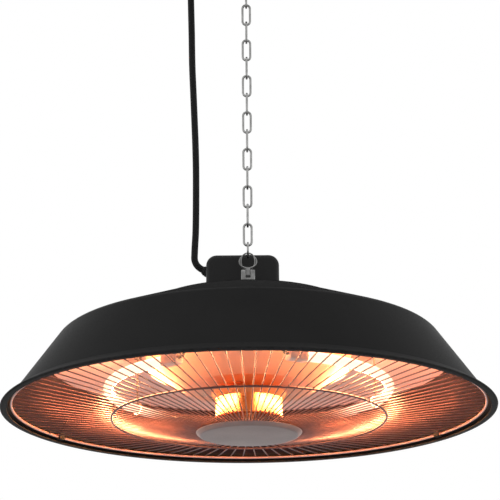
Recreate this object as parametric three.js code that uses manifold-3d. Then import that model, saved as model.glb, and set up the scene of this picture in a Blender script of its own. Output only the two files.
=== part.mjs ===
// Hanging patio heater: a spun steel shade with a ring-shaped quartz heating tube under a W-shaped
// reflector, a radial wire grille below, and a terminal housing on top. It hangs on a steel chain
// from a ceiling plate, which also grips the power cord.
// Millimetres, +Z up. The origin is the middle of the ceiling plate's top face, which meets the
// ceiling. In the heater's own frame, z = 0 is the plane of the shade's lowest edge.
import * as THREE from 'three';
import { mergeVertices } from 'three/addons/utils/BufferGeometryUtils.js';
import Module from 'manifold-3d';

const wasm = await Module();
wasm.setup();

// Clearances
const gap = 0.3;             // between pieces that touch
const overrun = 2;           // how far a cutter runs past what it cuts

// Shade
const rimRadius = 245;
const flareWidth = 11;       // from the rim in to the neck
const wallWidth = 45;        // from the neck in to the shoulder
const neckRadius = rimRadius - flareWidth;
const neckHeight = 8.8;
const shoulderRadius = neckRadius - wallWidth; // where wall and roof would meet without their bend
const shoulderHeight = 73;
const shoulderBend = 14;
const roofPitch = 21.5;      // degrees
const sheet = 1.2;
const hemReturn = 5;         // width of the rolled hem's flat underside
const hemBend = 1.6;
const roofHoleRadius = 74;
const shadeSides = 40;

// Top cap
const capRadius = 103;
const capProud = 0.4;        // above the roof at its edge
const capSheet = 1.5;
const capFlange = 11;
const capStepWidth = 3;
const capStepHeight = 4;
const capScrewRadius = 1.6;
const capScrewHeadRadius = 3.2;
const capScrewHead = 1.8;
const capScrewLength = 6;
const capScrewAngles = [90, 210, 330];

// Grille
const wireCount = 104;
const grilleRingProud = 0.2;  // past the neck
const grilleRingRadius = neckRadius + grilleRingProud;
const grilleRingHeight = 4.4;
const grilleRingWire = 2.6;
const ringSpacing = 98.1;
const innerRingRadius = grilleRingRadius - ringSpacing;
const innerRingHeight = -5.8;
const innerRingWire = 2.2;
const spokeWire = 1.3;
const hubRadius = 46;
const hubHeight = -18;
const hubThickness = 2.6;
const hubScrewRadius = 2.5;
const hubScrewHeadRadius = 5;
const hubScrewHead = 2.5;
const hubScrewLength = 4.6;
const discRadius = 52.5;
const discBottom = -22.6;
const discSheet = 1.2;
const discCorner = 2.6;
const discFloor = 1.4;       // left under the screw's hole
const bossRadius = 6;
const clipWidth = 8;
const clipSheet = 1;
const clipRise = 13;         // how far a clip runs up the wall from the neck
const clipLip = 4;
const clipSlots = [9, 43, 78];

// Reflector
const reflectorSheet = 0.8;
const columnRadius = 33.5;
const columnFoot = -6;
const columnCorner = 2;
const columnTop = 14;
const waistRadius = 38;
const waistHeight = 21;
const ledgeHeight = 24.5;
const ledgeShare = 0.42;     // of the way from waist to flank
const flankWidth = 30;
const flankRise = 35;
const crownWidth = 28;
const crownRise = 6;         // above the shoulder
const skirtWidth = 43.2;
const skirtFall = 29;
const skirtProud = 12.2;     // past the shoulder
const skirtRadius = shoulderRadius + skirtProud;
const crownOuter = skirtRadius - skirtWidth;
const crownInner = crownOuter - crownWidth;
const crownMiddle = (crownInner + crownOuter) / 2;
const flankRadius = crownInner - flankWidth;
const ledgeRadius = waistRadius + (flankRadius - waistRadius) * ledgeShare;
const crownHeight = shoulderHeight + crownRise;
const flankHeight = crownHeight - flankRise;
const skirtHeight = crownHeight - skirtFall;
const spacerRadius = 5;
const spacerAngles = [30, 150, 270];

// Heating tube
const tubeInset = 4.5;       // in from the middle of the crown
const tubeRingRadius = crownMiddle - tubeInset;
const tubeDrop = 55;         // below the crown
const tubeHeight = crownHeight - tubeDrop;
const tubeRadius = 5;
const tubeWall = 1;
const tubeGapCentre = -96;   // degrees, a little to the left of the front
const tubeGapAngle = 30;     // degrees each side of that, where the tube ends
const tubeSteps = 24;
const filamentRadius = 1.2;
const filamentReach = 7;     // past the tube's end
const endLength = 32;
const endSize = 15;
const endSocket = 8;
const bracketSheet = 1.2;
const bracketWidth = 12;
const bracketFoot = 13;
const clipWire = 1.6;
const clipFootRadius = 4;
const clipFootSheet = 1.2;
const clipSteps = [7, 17];   // the tube's steps that the wire clips hold
const leadRadius = 1.4;
const leadRise = 5;          // above the reflector
const leadSocket = 9;
const leadBend = 7;
const leadCrossShares = [0.7, 0.45]; // of its exit's place, where a lead crosses over the flank
const leadSocketShare = 0.5;  // of its socket's place, where it passes under the cap

// Hanger
const pinRise = 33.32;       // above the cap
const pinRadius = 2;
const eyeRise = 14.7;        // from the pin to the middle of the eye
const eyeRadius = 8;         // to the middle of the wire
const eyeWire = 3;
const tongueWidth = 4.4;
const tongueDepth = 8;
const clevisWidth = 14.2;
const clevisDepth = 11;
const clevisAbovePin = 4.4;
const clevisBelowPin = 8;
const clevisChamfer = 1.8;
const collarRadius = 6.5;
const rodRadius = 4;
const nutAcross = 13;
const hangerNut = 6.5;
const reflectorNut = 4;

// Connecting ring and chain
const ringRadius = 7.35;     // to the middle of the wire
const ringWire = 2.2;
const linkCount = 15;
const linkWire = 2.4;
const linkInside = 21.16;
const linkWidth = 10.4;

// Ceiling plate and hook
const plateRadius = 80;
const plateThickness = 4;
const plateChamfer = 1;
const plateScrewReach = 55;
const plateScrewRadius = 2.6;
const hookBoss = 10;
const hookBossRadius = 10;
const hookWire = 4;
const hookRadius = 8;        // to the middle of the wire
const hookShank = 21.5;      // from the boss to the top of the bend
const hookSkin = 2;          // left above the hook's threaded hole
const hookNutAcross = 7;
const hookNut = 3.2;
const gripFlangeRadius = 11;
const gripFlange = 3;
const gripRadius = 7.5;
const gripTip = 5;
const gripLength = 26;
const gripHoleRadius = 3.5;

// Terminal housing
const housingCentre = -5.6;
const housingWidth = 75.8;
const housingFront = 24;
const housingDepth = 46;
const housingHeight = 64.02;
const housingWall = 2;
const housingCorner = 8;     // upright edges
const housingBrow = 11;      // top left and right edges
const housingScrewInset = 8;
const housingScrewRadius = 1.8;
const housingScrewHeadRadius = 3.4;
const housingScrewHead = 2;
const housingScrewLength = 12;
const housingBossRadius = 4;
const blockWidth = 30;
const blockDepth = 14;
const blockHeight = 15;
const blockCentre = -11;
const blockBack = 47;
const blockPost = 3;
const blockPostHeight = 2;
const cutoutRadius = 8;
const cutoutHeight = 6;
const cutoutFlange = 1.5;
const cutoutPost = 2;
const cutoutCentre = 17;

// Power cord
const cordRadius = 3.55;
const cordSides = 8;
const cordStep = 17;
const cordBend = 14.3;
const cordLead = 1.5;        // straight at the strain relief
const glandRise = 51.42;     // above the foot of the housing
const glandDepth = 44;
const glandAngle = 28;       // degrees above level, where the cord leaves
const glandOut = 4;
const glandIn = 13;
const glandRadius = 5.6;
const glandTip = 4.6;
const coreRadius = 2.4;
const coreDrop = 12;
// Points that the cord runs through, in the heater's frame, from the strain relief upwards
const seam = [-59.5, 27, 430];
const lowerRoute = [
  [-55.8, 43.7, 190], [-55.0, 43, 205], [-54.7, 42, 225], [-54.6, 40.5, 250], [-54.7, 38.5, 276],
  [-55.2, 36, 300], [-56.3, 33.5, 330], [-57.5, 31, 360], [-58.8, 29, 392],
];
const upperRoute = [[-60.1, 25.3, 455], [-60.7, 23.3, 482]];
const cordTop = [-61, 22];

const deg = Math.PI / 180;

// Materials
const finish = (color, roughness, metalness) =>
  new THREE.MeshStandardMaterial({ color, roughness, metalness });
const charcoal = finish(0x2b2b2d, 0.5, 0.35);
const blackPlastic = finish(0x2a2a2b, 0.55, 0.0);
const zinc = finish(0xb4b4b2, 0.3, 1.0);
const aluminium = finish(0xd8c8c0, 0.2, 1.0);
const grilleSteel = finish(0x8a7672, 0.35, 1.0);
const ceramic = finish(0xe6dfd2, 0.6, 0.0);
const quartz = finish(0xffe9b0, 0.1, 0.0);
const tungsten = finish(0xffc060, 0.4, 1.0);
const textile = finish(0x141416, 0.9, 0.0);
const insulation = finish(0xb9a98c, 0.6, 0.0);

// Solids
function toSolid(geometry) {
  const bare = new THREE.BufferGeometry();
  bare.setAttribute('position', geometry.getAttribute('position'));
  bare.setIndex(geometry.index);
  const merged = mergeVertices(bare, 1e-4);
  const corners = merged.index.array;
  const kept = [];
  for (let i = 0; i < corners.length; i += 3) {
    const [a, b, c] = [corners[i], corners[i + 1], corners[i + 2]];
    if (a !== b && b !== c && c !== a) {
      kept.push(a, b, c);
    }
  }
  return new wasm.Manifold(new wasm.Mesh({
    numProp: 3,
    vertProperties: new Float32Array(merged.attributes.position.array),
    triVerts: new Uint32Array(kept),
  }));
}

function toGeometry(solid) {
  const mesh = solid.getMesh();
  const geometry = new THREE.BufferGeometry();
  geometry.setAttribute('position', new THREE.BufferAttribute(new Float32Array(mesh.vertProperties), 3));
  geometry.setIndex(new THREE.BufferAttribute(new Uint32Array(mesh.triVerts), 1));
  return geometry;
}

const join = (...geometries) => toGeometry(geometries.map(toSolid).reduce((a, b) => a.add(b)));
const common = (a, b) => toGeometry(toSolid(a).intersect(toSolid(b)));
const cut = (body, ...cutters) =>
  toGeometry(cutters.map(toSolid).reduce((a, b) => a.subtract(b), toSolid(body)));

// Shapes
const polar = (radius, angle, z = 0) =>
  new THREE.Vector3(radius * Math.cos(angle * deg), radius * Math.sin(angle * deg), z);

function circle(radius, sides) {
  const points = Array.from({ length: sides }, (_, i) => {
    const a = 2 * Math.PI * i / sides;
    return new THREE.Vector2(radius * Math.cos(a), radius * Math.sin(a));
  });
  return new THREE.Shape(points);
}

// A path with a section at each of its points, mitred where it turns
class Route extends THREE.Curve {
  constructor(points) {
    super();
    this.points = points;
  }

  getPoint(t) {
    const last = this.points.length - 1;
    const i = Math.min(Math.floor(t * last), last - 1);
    return this.points[i].clone().lerp(this.points[i + 1], t * last - i);
  }

  getPointAt(u) {
    return this.getPoint(u);
  }

  getTangentAt(u) {
    const last = this.points.length - 1;
    const i = Math.round(u * last);
    const here = this.points[i];
    const back = here.clone().sub(this.points[Math.max(i - 1, 0)]).normalize();
    const ahead = this.points[Math.min(i + 1, last)].clone().sub(here).normalize();
    return back.add(ahead).normalize();
  }
}

const sweep = (section, points) => new THREE.ExtrudeGeometry(section, {
  extrudePath: new Route(points),
  steps: points.length - 1,
  bevelEnabled: false,
});
const rodAlong = (points, radius, sides) => sweep(circle(radius, sides), points);

// A closed profile of [radius, height] points, or one from axis to axis, turned about Z
function turned(profile, sides) {
  const points = profile.map(([r, z]) => new THREE.Vector2(r, z));
  const first = points[0];
  const last = points[points.length - 1];
  if (first.x > 0 && !first.equals(last)) {
    points.push(first.clone());
  }
  if (THREE.ShapeUtils.area(points) < 0) {
    points.reverse();
  }
  const geometry = new THREE.LatheGeometry(points, sides);
  geometry.rotateX(Math.PI / 2);
  return geometry;
}

const cylinder = (radius, bottom, top, sides) =>
  turned([[0, bottom], [radius, bottom], [radius, top], [0, top]], sides);

function hexNut(across, bore, bottom, top) {
  const body = cylinder(across / Math.sqrt(3), bottom, top, 6);
  return cut(body, cylinder(bore, bottom - overrun, top + overrun, 12));
}

function box(x0, x1, y0, y1, z0, z1) {
  const geometry = new THREE.BoxGeometry(x1 - x0, y1 - y0, z1 - z0);
  geometry.translate((x0 + x1) / 2, (y0 + y1) / 2, (z0 + z1) / 2);
  return geometry;
}

// A flat outline in X and Z, given as [x, z] points, pulled along Y
function prism(outline, y0, y1) {
  const shape = new THREE.Shape(outline.map(([x, z]) => new THREE.Vector2(x, z)));
  const geometry = new THREE.ExtrudeGeometry(shape, { depth: y1 - y0, bevelEnabled: false });
  geometry.rotateX(Math.PI / 2);
  geometry.translate(0, y1, 0);
  return geometry;
}

// Turns a geometry made along +Z or +Y so that it runs along X
const alongX = (geometry) => geometry.rotateY(Math.PI / 2);

const arc = (r, z, radius, from, to, steps) => Array.from({ length: steps + 1 }, (_, i) => {
  const a = (from + (to - from) * i / steps) * deg;
  return [r + radius * Math.cos(a), z + radius * Math.sin(a)];
});

// An open line of points moved to its left
const offsetLine = (line, distance) => line.map((point, i) => {
  const here = new THREE.Vector2(...point);
  const back = here.clone().sub(new THREE.Vector2(...line[Math.max(i - 1, 0)])).normalize();
  const ahead = new THREE.Vector2(...line[Math.min(i + 1, line.length - 1)]).sub(here).normalize();
  const along = back.add(ahead).normalize();
  const lead = ahead.length() > 0 ? ahead : along;
  const mitre = distance / Math.max(Math.abs(along.dot(lead)), Math.SQRT1_2);
  return [here.x - along.y * mitre, here.y + along.x * mitre];
});

// A sheet of even thickness: its first face is the line, the other lies to the line's left
const sheetOutline = (line, thickness) => [...line, ...offsetLine(line, thickness).reverse()];

// Levels of the roof, the cap and the housing, in the heater's frame
const pitch = Math.tan(roofPitch * deg);
const roofAt = (r) => shoulderHeight + (shoulderRadius - r) * pitch;
const underRoof = (r) => roofAt(r) - sheet / Math.cos(roofPitch * deg);
const capEdge = roofAt(capRadius) + capProud;
const capTop = capEdge + capStepHeight;
const capUnder = capTop - capSheet;
const seatHeight = capEdge - capSheet - gap;
const seatRadius = shoulderRadius - (seatHeight - shoulderHeight) / pitch;
const capScrewReach = capRadius - capFlange / 2;
const housingBottom = capTop + gap;
const housingTop = housingBottom + housingHeight;

// Levels along the hanging line, in the heater's frame
const pinHeight = capTop + pinRise;
const eyeHeight = pinHeight + eyeRise;
const ringHeight = eyeHeight + eyeRadius - eyeWire / 2 - gap - ringWire / 2 + ringRadius;
const linkPitch = linkInside - gap;
const firstLink = ringHeight + ringRadius - ringWire / 2 - gap + linkInside / 2;
const lastLink = firstLink + (linkCount - 1) * linkPitch;
const hookHeight = lastLink + linkInside / 2 - gap - hookWire / 2;
const hookReach = plateThickness + hookBoss + hookShank + 2 * hookRadius;
const ceilingHeight = hookHeight + hookReach;

// Levels of the wall
const wallRun = neckRadius - shoulderRadius;
const wallFall = shoulderHeight - neckHeight;
const wallLean = Math.atan2(wallFall, wallRun) / deg;
const insideWallAt = (z) => neckRadius - (z - neckHeight) * wallRun / wallFall
  - sheet / Math.sin(wallLean * deg);

// Shade: roof, shoulder, wall, flared neck and rolled hem in one sheet
function shadeShell() {
  const tangent = shoulderBend * Math.tan((wallLean - roofPitch) / 2 * deg);
  const bendRadius = shoulderRadius - tangent * Math.cos(roofPitch * deg)
    - shoulderBend * Math.sin(roofPitch * deg);
  const bendHeight = shoulderHeight + tangent * Math.sin(roofPitch * deg)
    - shoulderBend * Math.cos(roofPitch * deg);
  const flare = Math.atan2(neckHeight, rimRadius - neckRadius) / deg;
  const line = [
    [roofHoleRadius, seatHeight],
    [seatRadius, seatHeight],
    ...arc(bendRadius, bendHeight, shoulderBend, 90 - roofPitch, 90 - wallLean, 2),
    [neckRadius, neckHeight],
    ...arc(rimRadius - hemBend, hemBend, hemBend, 90 - flare, -90, 3),
    [rimRadius - hemBend - hemReturn, 0],
  ];
  const holes = capScrewAngles.map((angle) => {
    const hole = cylinder(capScrewRadius + gap, seatHeight - sheet - overrun, seatHeight + overrun, 10);
    return hole.translate(...polar(capScrewReach, angle));
  });
  return cut(turned(sheetOutline(line, -sheet), shadeSides), ...holes);
}

// Top cap: a pressed disc with a flat flange, which carries the hanger and the housing
function topCap() {
  const line = [
    [rodRadius + gap, capTop],
    [capRadius - capFlange - capStepWidth, capTop],
    [capRadius - capFlange, capEdge],
    [capRadius, capEdge],
  ];
  const hole = (radius) => cylinder(radius + gap, seatHeight, capTop + overrun, 10);
  const holes = [
    ...capScrewAngles.map((angle) => hole(capScrewRadius).translate(...polar(capScrewReach, angle))),
    ...housingScrews.map(([x, y]) => hole(housingScrewRadius).translate(x, y, 0)),
    ...leadSockets.map(([x, y]) => hole(leadRadius + gap).translate(x, y, 0)),
  ];
  return cut(turned(sheetOutline(line, -capSheet), shadeSides), ...holes);
}

function capScrew(angle) {
  const seat = capEdge + gap;
  const profile = [
    [0, seat - capScrewLength], [capScrewRadius, seat - capScrewLength], [capScrewRadius, seat],
    [capScrewHeadRadius, seat], [capScrewHeadRadius, seat + capScrewHead], [0, seat + capScrewHead],
  ];
  return turned(profile, 10).translate(...polar(capScrewReach, angle));
}

// Grille: two rings and a hub plate, with straight wires welded from ring to ring to hub
const wireSlope = (innerRingHeight - hubHeight) / (innerRingRadius - hubRadius);
const ringSides = wireCount / 2;
const wireTurn = 360 / wireCount;
// Corner radius of a three-sided wire with the section of a round one
const spokeCorner = spokeWire / 2 * Math.sqrt(4 * Math.PI / Math.sqrt(27));

// A ring of square wire
function wireRing(radius, z, wire) {
  const half = wire / 2;
  const section = [
    [radius - half, z - half], [radius + half, z - half], [radius + half, z + half], [radius - half, z + half],
  ];
  return turned(section, ringSides);
}

function grille() {
  const wires = Array.from({ length: wireCount }, (_, i) => {
    const angle = (i + 0.5) * wireTurn;
    return rodAlong([
      polar(hubRadius - 2 * spokeWire, angle, hubHeight),
      polar(innerRingRadius, angle, innerRingHeight),
      polar(grilleRingRadius, angle, grilleRingHeight),
    ], spokeCorner, 3);
  });
  const plate = cylinder(hubRadius, hubHeight - hubThickness / 2, hubHeight + hubThickness / 2, ringSides);
  const body = join(
    wireRing(grilleRingRadius, grilleRingHeight, grilleRingWire),
    wireRing(innerRingRadius, innerRingHeight, innerRingWire),
    plate,
    ...wires,
  );
  const hole = cylinder(hubScrewRadius + gap, hubHeight - hubThickness, hubHeight + hubThickness, 12);
  return cut(body, hole);
}

// Centre disc: a dish with a raised rim just under the wires, and a boss for its screw
function grilleDisc() {
  const rimTop = hubHeight + (discRadius - discSheet - hubRadius) * wireSlope - spokeCorner - gap;
  const bossTop = hubHeight - hubThickness / 2 - gap;
  const inner = discRadius - discSheet;
  const floor = discBottom + discSheet;
  const profile = [
    [0, discBottom],
    [discRadius - 2 * discCorner, discBottom],
    [discRadius, discBottom + discCorner],
    [discRadius, rimTop],
    [inner, rimTop],
    [inner, floor + discCorner],
    [inner - 2 * discCorner, floor],
    [bossRadius, floor],
    [bossRadius, bossTop],
    [0, bossTop],
  ];
  const hole = cylinder(hubScrewRadius + gap, discBottom + discFloor, bossTop + overrun, 12);
  return cut(turned(profile, 32), hole);
}

function hubScrew() {
  const seat = hubHeight + hubThickness / 2 + gap;
  const profile = [
    [0, seat - hubScrewLength], [hubScrewRadius, seat - hubScrewLength], [hubScrewRadius, seat],
    [hubScrewHeadRadius, seat], [hubScrewHeadRadius, seat + hubScrewHead], [0, seat + hubScrewHead],
  ];
  return turned(profile, 12);
}

// Grille clip: a strip down the inside of the wall, hooked under the grille's outer ring
function grilleClip(slot) {
  const flat = 1 - Math.cos(Math.PI / ringSides);
  const face = grilleRingRadius * (1 - flat) - grilleRingWire / 2 - gap;
  const under = grilleRingHeight - grilleRingWire / 2 - gap;
  const stand = gap + rimRadius * (1 - Math.cos(Math.PI / shadeSides));
  const wallFace = (z) => insideWallAt(z) - stand;
  const meet = neckHeight + (wallFace(neckHeight) - face) * wallFall / wallRun;
  const line = [
    [wallFace(neckHeight + clipRise), neckHeight + clipRise],
    [face, meet],
    [face, under],
    [face + clipLip, under],
  ];
  const strip = prism(sheetOutline(line, -clipSheet), -clipWidth / 2, clipWidth / 2);
  return strip.rotateZ(slot * wireTurn * deg);
}

// Reflector: column, ledge, flank, crown and skirt in one polished sheet
function reflector() {
  const flankSteps = 4;
  const flank = Array.from({ length: flankSteps + 1 }, (_, i) => {
    const a = (1 - i / flankSteps) * Math.PI / 2;
    return [
      crownInner - (crownInner - flankRadius) * Math.sin(a),
      crownHeight - (crownHeight - flankHeight) * (1 - Math.cos(a)),
    ];
  });
  const line = [
    [rodRadius + gap, columnFoot],
    [columnRadius - columnCorner, columnFoot],
    [columnRadius, columnFoot + columnCorner],
    [columnRadius, columnTop],
    [waistRadius, waistHeight],
    [ledgeRadius, ledgeHeight],
    ...flank,
    [crownOuter, crownHeight],
    [skirtRadius, skirtHeight],
  ];
  const holes = leadExits.map(([x, y]) =>
    cylinder(leadRadius + 2 * gap, crownHeight - overrun, crownHeight + overrun, 10).translate(x, y, 0));
  return cut(turned(sheetOutline(line, reflectorSheet), shadeSides), ...holes);
}

// Spacer between the reflector's crown and the roof, its top cut to the roof's slope
function reflectorSpacer(angle) {
  const foot = crownHeight + reflectorSheet + gap;
  const post = cylinder(spacerRadius, foot, underRoof(0), 12).translate(...polar(crownMiddle, angle));
  const near = crownMiddle - 2 * spacerRadius;
  const far = crownMiddle + 2 * spacerRadius;
  const underside = (r) => Math.min(underRoof(r), seatHeight - sheet) - gap;
  const steps = 8;
  const along = Array.from({ length: steps + 1 }, (_, i) => near + (far - near) * i / steps);
  const above = [
    ...along.map((r) => [r, underside(r)]), [far, underRoof(0) + overrun], [near, underRoof(0) + overrun],
  ];
  return cut(post, turned(above, shadeSides));
}

// Heating tube: an open ring of quartz tube, its stations spread evenly over its arc
const tubeStart = tubeGapCentre + tubeGapAngle;
const tubeSpan = 360 - 2 * tubeGapAngle;
const station = (i) => polar(tubeRingRadius, tubeStart + tubeSpan * i / tubeSteps, tubeHeight);
const stations = Array.from({ length: tubeSteps + 1 }, (_, i) => station(i));
const tubeEnds = [
  { tip: station(0), out: station(0).sub(station(1)).normalize() },
  { tip: station(tubeSteps), out: station(tubeSteps).sub(station(tubeSteps - 1)).normalize() },
];
const pastEnd = ({ tip, out }, distance) => tip.clone().addScaledVector(out, distance);

function heatingTube() {
  const section = circle(tubeRadius, 8);
  section.holes.push(new THREE.Path(circle(tubeRadius - tubeWall, 8).getPoints().slice(0, 8)));
  return sweep(section, stations);
}

function heatingFilament() {
  const points = [
    pastEnd(tubeEnds[0], filamentReach), ...stations, pastEnd(tubeEnds[1], filamentReach),
  ];
  return rodAlong(points, filamentRadius, 5);
}

// Puts a geometry made along +X, with +Y to the left, on a tube end
function onTubeEnd(geometry, { tip, out }, distance) {
  const at = pastEnd({ tip, out }, distance);
  return geometry.rotateZ(Math.atan2(out.y, out.x)).translate(at.x, at.y, at.z);
}

// Ceramic tube end: a block with a socket for the tube and a bore for filament and lead
function tubeEnd(end) {
  const half = endSize / 2;
  const nose = endLength - endSocket;
  const body = box(-endSocket, nose, -half, half, -half, half);
  const socketEnd = gap + tubeRadius * Math.sin(tubeSpan / tubeSteps / 2 * deg);
  const socket = alongX(cylinder(tubeRadius + gap, -endSocket - overrun, socketEnd, 12));
  const bore = alongX(cylinder(leadRadius + gap, -overrun, nose + overrun, 8));
  return onTubeEnd(cut(body, socket, bore), end, 0);
}

// Bracket from the crown down to a tube end, folded from a strip
function endBracket(end) {
  const half = bracketFoot / 2;
  const top = crownHeight - gap - tubeHeight;
  const bottom = endSize / 2 + gap;
  const line = [[half, top], [-half, top], [-half, bottom], [half, bottom]];
  const strip = prism(sheetOutline(line, bracketSheet), -bracketWidth / 2, bracketWidth / 2);
  const at = pastEnd(end, endLength / 2 - endSocket);
  return strip.rotateZ(Math.atan2(at.y, at.x)).translate(at.x, at.y, at.z);
}

// Wire clip: a ring round the tube on a stem, with a foot on the crown
function tubeClip(step) {
  const wire = clipWire / 2;
  const bend = tubeRadius + gap + wire;
  const top = crownHeight - gap - tubeHeight;
  const loop = new THREE.TorusGeometry(bend, wire, 6, 12).rotateX(Math.PI / 2);
  const stem = cylinder(wire, bend, top - clipFootSheet / 2, 6);
  const foot = cylinder(clipFootRadius, top - clipFootSheet, top, 10);
  const at = station(step);
  return join(loop, stem, foot).rotateZ(Math.atan2(at.y, at.x)).translate(at.x, at.y, at.z);
}

// Leads: out of the tube ends, up through the reflector, over to the cap and into the terminal block
const leadSockets = [-1, 1].map((side) => [blockCentre - side * blockWidth / 4, blockBack]);
const leadExits = tubeEnds.map((end) => {
  const at = pastEnd(end, endLength - endSocket + leadBend);
  return [at.x * crownMiddle / at.length(), at.y * crownMiddle / at.length()];
});

function tubeLead(end, exit, socket) {
  const start = pastEnd(end, filamentReach + gap);
  const leave = pastEnd(end, endLength - endSocket + leadBend / 2);
  const over = crownHeight + reflectorSheet + leadRise;
  const under = capUnder - 2 * leadBend;
  const side = Math.sign(end.out.x) * nutAcross;
  const points = [
    start,
    pastEnd(end, endLength - endSocket),
    leave,
    new THREE.Vector3(exit[0], exit[1], tubeHeight + leadBend),
    new THREE.Vector3(exit[0], exit[1], crownHeight),
    new THREE.Vector3(exit[0], exit[1], over - leadRadius),
    new THREE.Vector3(exit[0], exit[1] + leadBend, over),
    new THREE.Vector3(exit[0] * leadCrossShares[0] - side, exit[1] * leadCrossShares[1], (over + under) / 2),
    new THREE.Vector3(socket[0] * leadSocketShare - side, 0, under),
    new THREE.Vector3(socket[0], socket[1] - leadBend, under + leadBend / 2),
    new THREE.Vector3(socket[0], socket[1], capUnder),
    new THREE.Vector3(socket[0], socket[1], housingBottom + leadSocket),
  ];
  return rodAlong(points, leadRadius, 6);
}

// Hanger: a fork on a long rod that runs down through cap and reflector
function hangerClevis() {
  const half = clevisWidth / 2;
  const top = pinHeight + clevisAbovePin;
  const bottom = pinHeight - clevisBelowPin;
  const deep = clevisDepth / 2;
  const outline = [
    [-deep, bottom], [deep, bottom], [deep, top - clevisChamfer], [deep - clevisChamfer, top],
    [clevisChamfer - deep, top], [-deep, top - clevisChamfer],
  ];
  const fork = prism(outline, -half, half).rotateZ(Math.PI / 2);
  const slot = tongueWidth / 2 + gap;
  const floor = pinHeight - tongueDepth / 2 - gap;
  const opening = box(-slot, slot, -clevisDepth, clevisDepth, floor, top + overrun);
  const bore = alongX(cylinder(pinRadius + gap, -clevisWidth, clevisWidth, 12));
  const collar = cylinder(collarRadius, capTop + gap, bottom + clevisChamfer, 16);
  const rodEnd = columnFoot - gap - reflectorNut;
  const rod = cylinder(rodRadius, rodEnd, bottom, 12);
  return cut(join(fork, collar, rod), opening, bore.translate(0, 0, pinHeight));
}

const hangerPin = () =>
  alongX(cylinder(pinRadius, -clevisWidth / 2, clevisWidth / 2, 12)).translate(0, 0, pinHeight);

// Eye: a ring of wire on a flat tongue with a round end
function hangerEye() {
  const half = tongueWidth / 2;
  const loop = new THREE.TorusGeometry(eyeRadius, eyeWire / 2, 8, 16).rotateX(Math.PI / 2);
  const round = alongX(cylinder(tongueDepth / 2, -half, half, 16));
  const bar = box(-half, half, -tongueDepth / 2, tongueDepth / 2, 0, eyeRise - eyeRadius);
  const bore = alongX(cylinder(pinRadius + gap, -half - overrun, half + overrun, 12));
  return cut(join(loop.translate(0, 0, eyeRise), round, bar), bore).translate(0, 0, pinHeight);
}

// Closed chain link with straight sides; edgeOn turns it a quarter
function chainLink(z, edgeOn) {
  const rings = 10;
  const bend = (linkWidth - linkWire) / 2 / Math.cos(Math.PI / rings);
  const link = new THREE.TorusGeometry(bend, linkWire / 2, 6, rings).rotateZ(Math.PI / rings);
  const reach = (linkInside + linkWire) / 2 - bend;
  const places = link.getAttribute('position');
  for (let i = 0; i < places.count; i += 1) {
    places.setY(i, places.getY(i) + Math.sign(places.getY(i)) * reach);
  }
  link.rotateX(Math.PI / 2);
  if (edgeOn) {
    link.rotateZ(Math.PI / 2);
  }
  return link.translate(0, 0, z);
}

const connectingRing = () =>
  new THREE.TorusGeometry(ringRadius, ringWire / 2, 6, 16).rotateY(Math.PI / 2).translate(0, 0, ringHeight);

// Ceiling plate with a threaded boss for the hook, from the ceiling's own level
const gripFoot = -plateThickness - gap - gripLength;

function ceilingPlate() {
  const profile = [
    [0, 0], [plateRadius, 0], [plateRadius, plateChamfer - plateThickness],
    [plateRadius - plateChamfer, -plateThickness], [hookBossRadius, -plateThickness],
    [hookBossRadius, -plateThickness - hookBoss], [0, -plateThickness - hookBoss],
  ];
  const through = (radius) => cylinder(radius, -plateThickness - overrun, overrun, 12);
  const thread = cylinder(hookWire / 2 + gap, -plateThickness - hookBoss - overrun, -hookSkin, 12);
  return cut(
    turned(profile, 32),
    thread,
    through(plateScrewRadius).translate(0, plateScrewReach, 0),
    through(plateScrewRadius).translate(0, -plateScrewReach, 0),
    through(gripHoleRadius).translate(cordTop[0], cordTop[1], 0),
  );
}

function ceilingHook() {
  const middle = -hookReach + hookRadius;
  const bend = arc(0, middle, hookRadius, 150, 400, 14);
  const drop = -plateThickness - hookBoss - hookShank / 2;
  const points = [
    [0, -hookSkin - gap],
    [0, -plateThickness - hookBoss],
    [0, drop],
    [-hookRadius / 8, (2 * drop + middle) / 3],
    [-hookRadius / 2, middle + hookRadius],
    ...bend,
  ];
  return rodAlong(points.map(([y, z]) => new THREE.Vector3(0, y, z)), hookWire / 2, 8);
}

function ceilingHookNut() {
  const top = -plateThickness - hookBoss - gap;
  return hexNut(hookNutAcross, hookWire / 2 + gap, top - hookNut, top);
}

function ceilingCordGrip() {
  const top = -plateThickness - gap;
  const profile = [
    [0, gripFoot], [gripTip, gripFoot], [gripRadius, gripFoot + gripLength / 2],
    [gripRadius, top - gripFlange], [gripFlangeRadius, top - gripFlange], [gripFlangeRadius, top], [0, top],
  ];
  return turned(profile, 20).translate(cordTop[0], cordTop[1], 0);
}

// Terminal housing: a cover with rounded upright edges and rounded top edges, open below
const housingScrews = [
  [housingCentre - housingWidth / 2 + housingScrewInset, housingFront + housingScrewInset],
  [housingCentre + housingWidth / 2 - housingScrewInset, housingFront + housingDepth - housingScrewInset],
];

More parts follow.
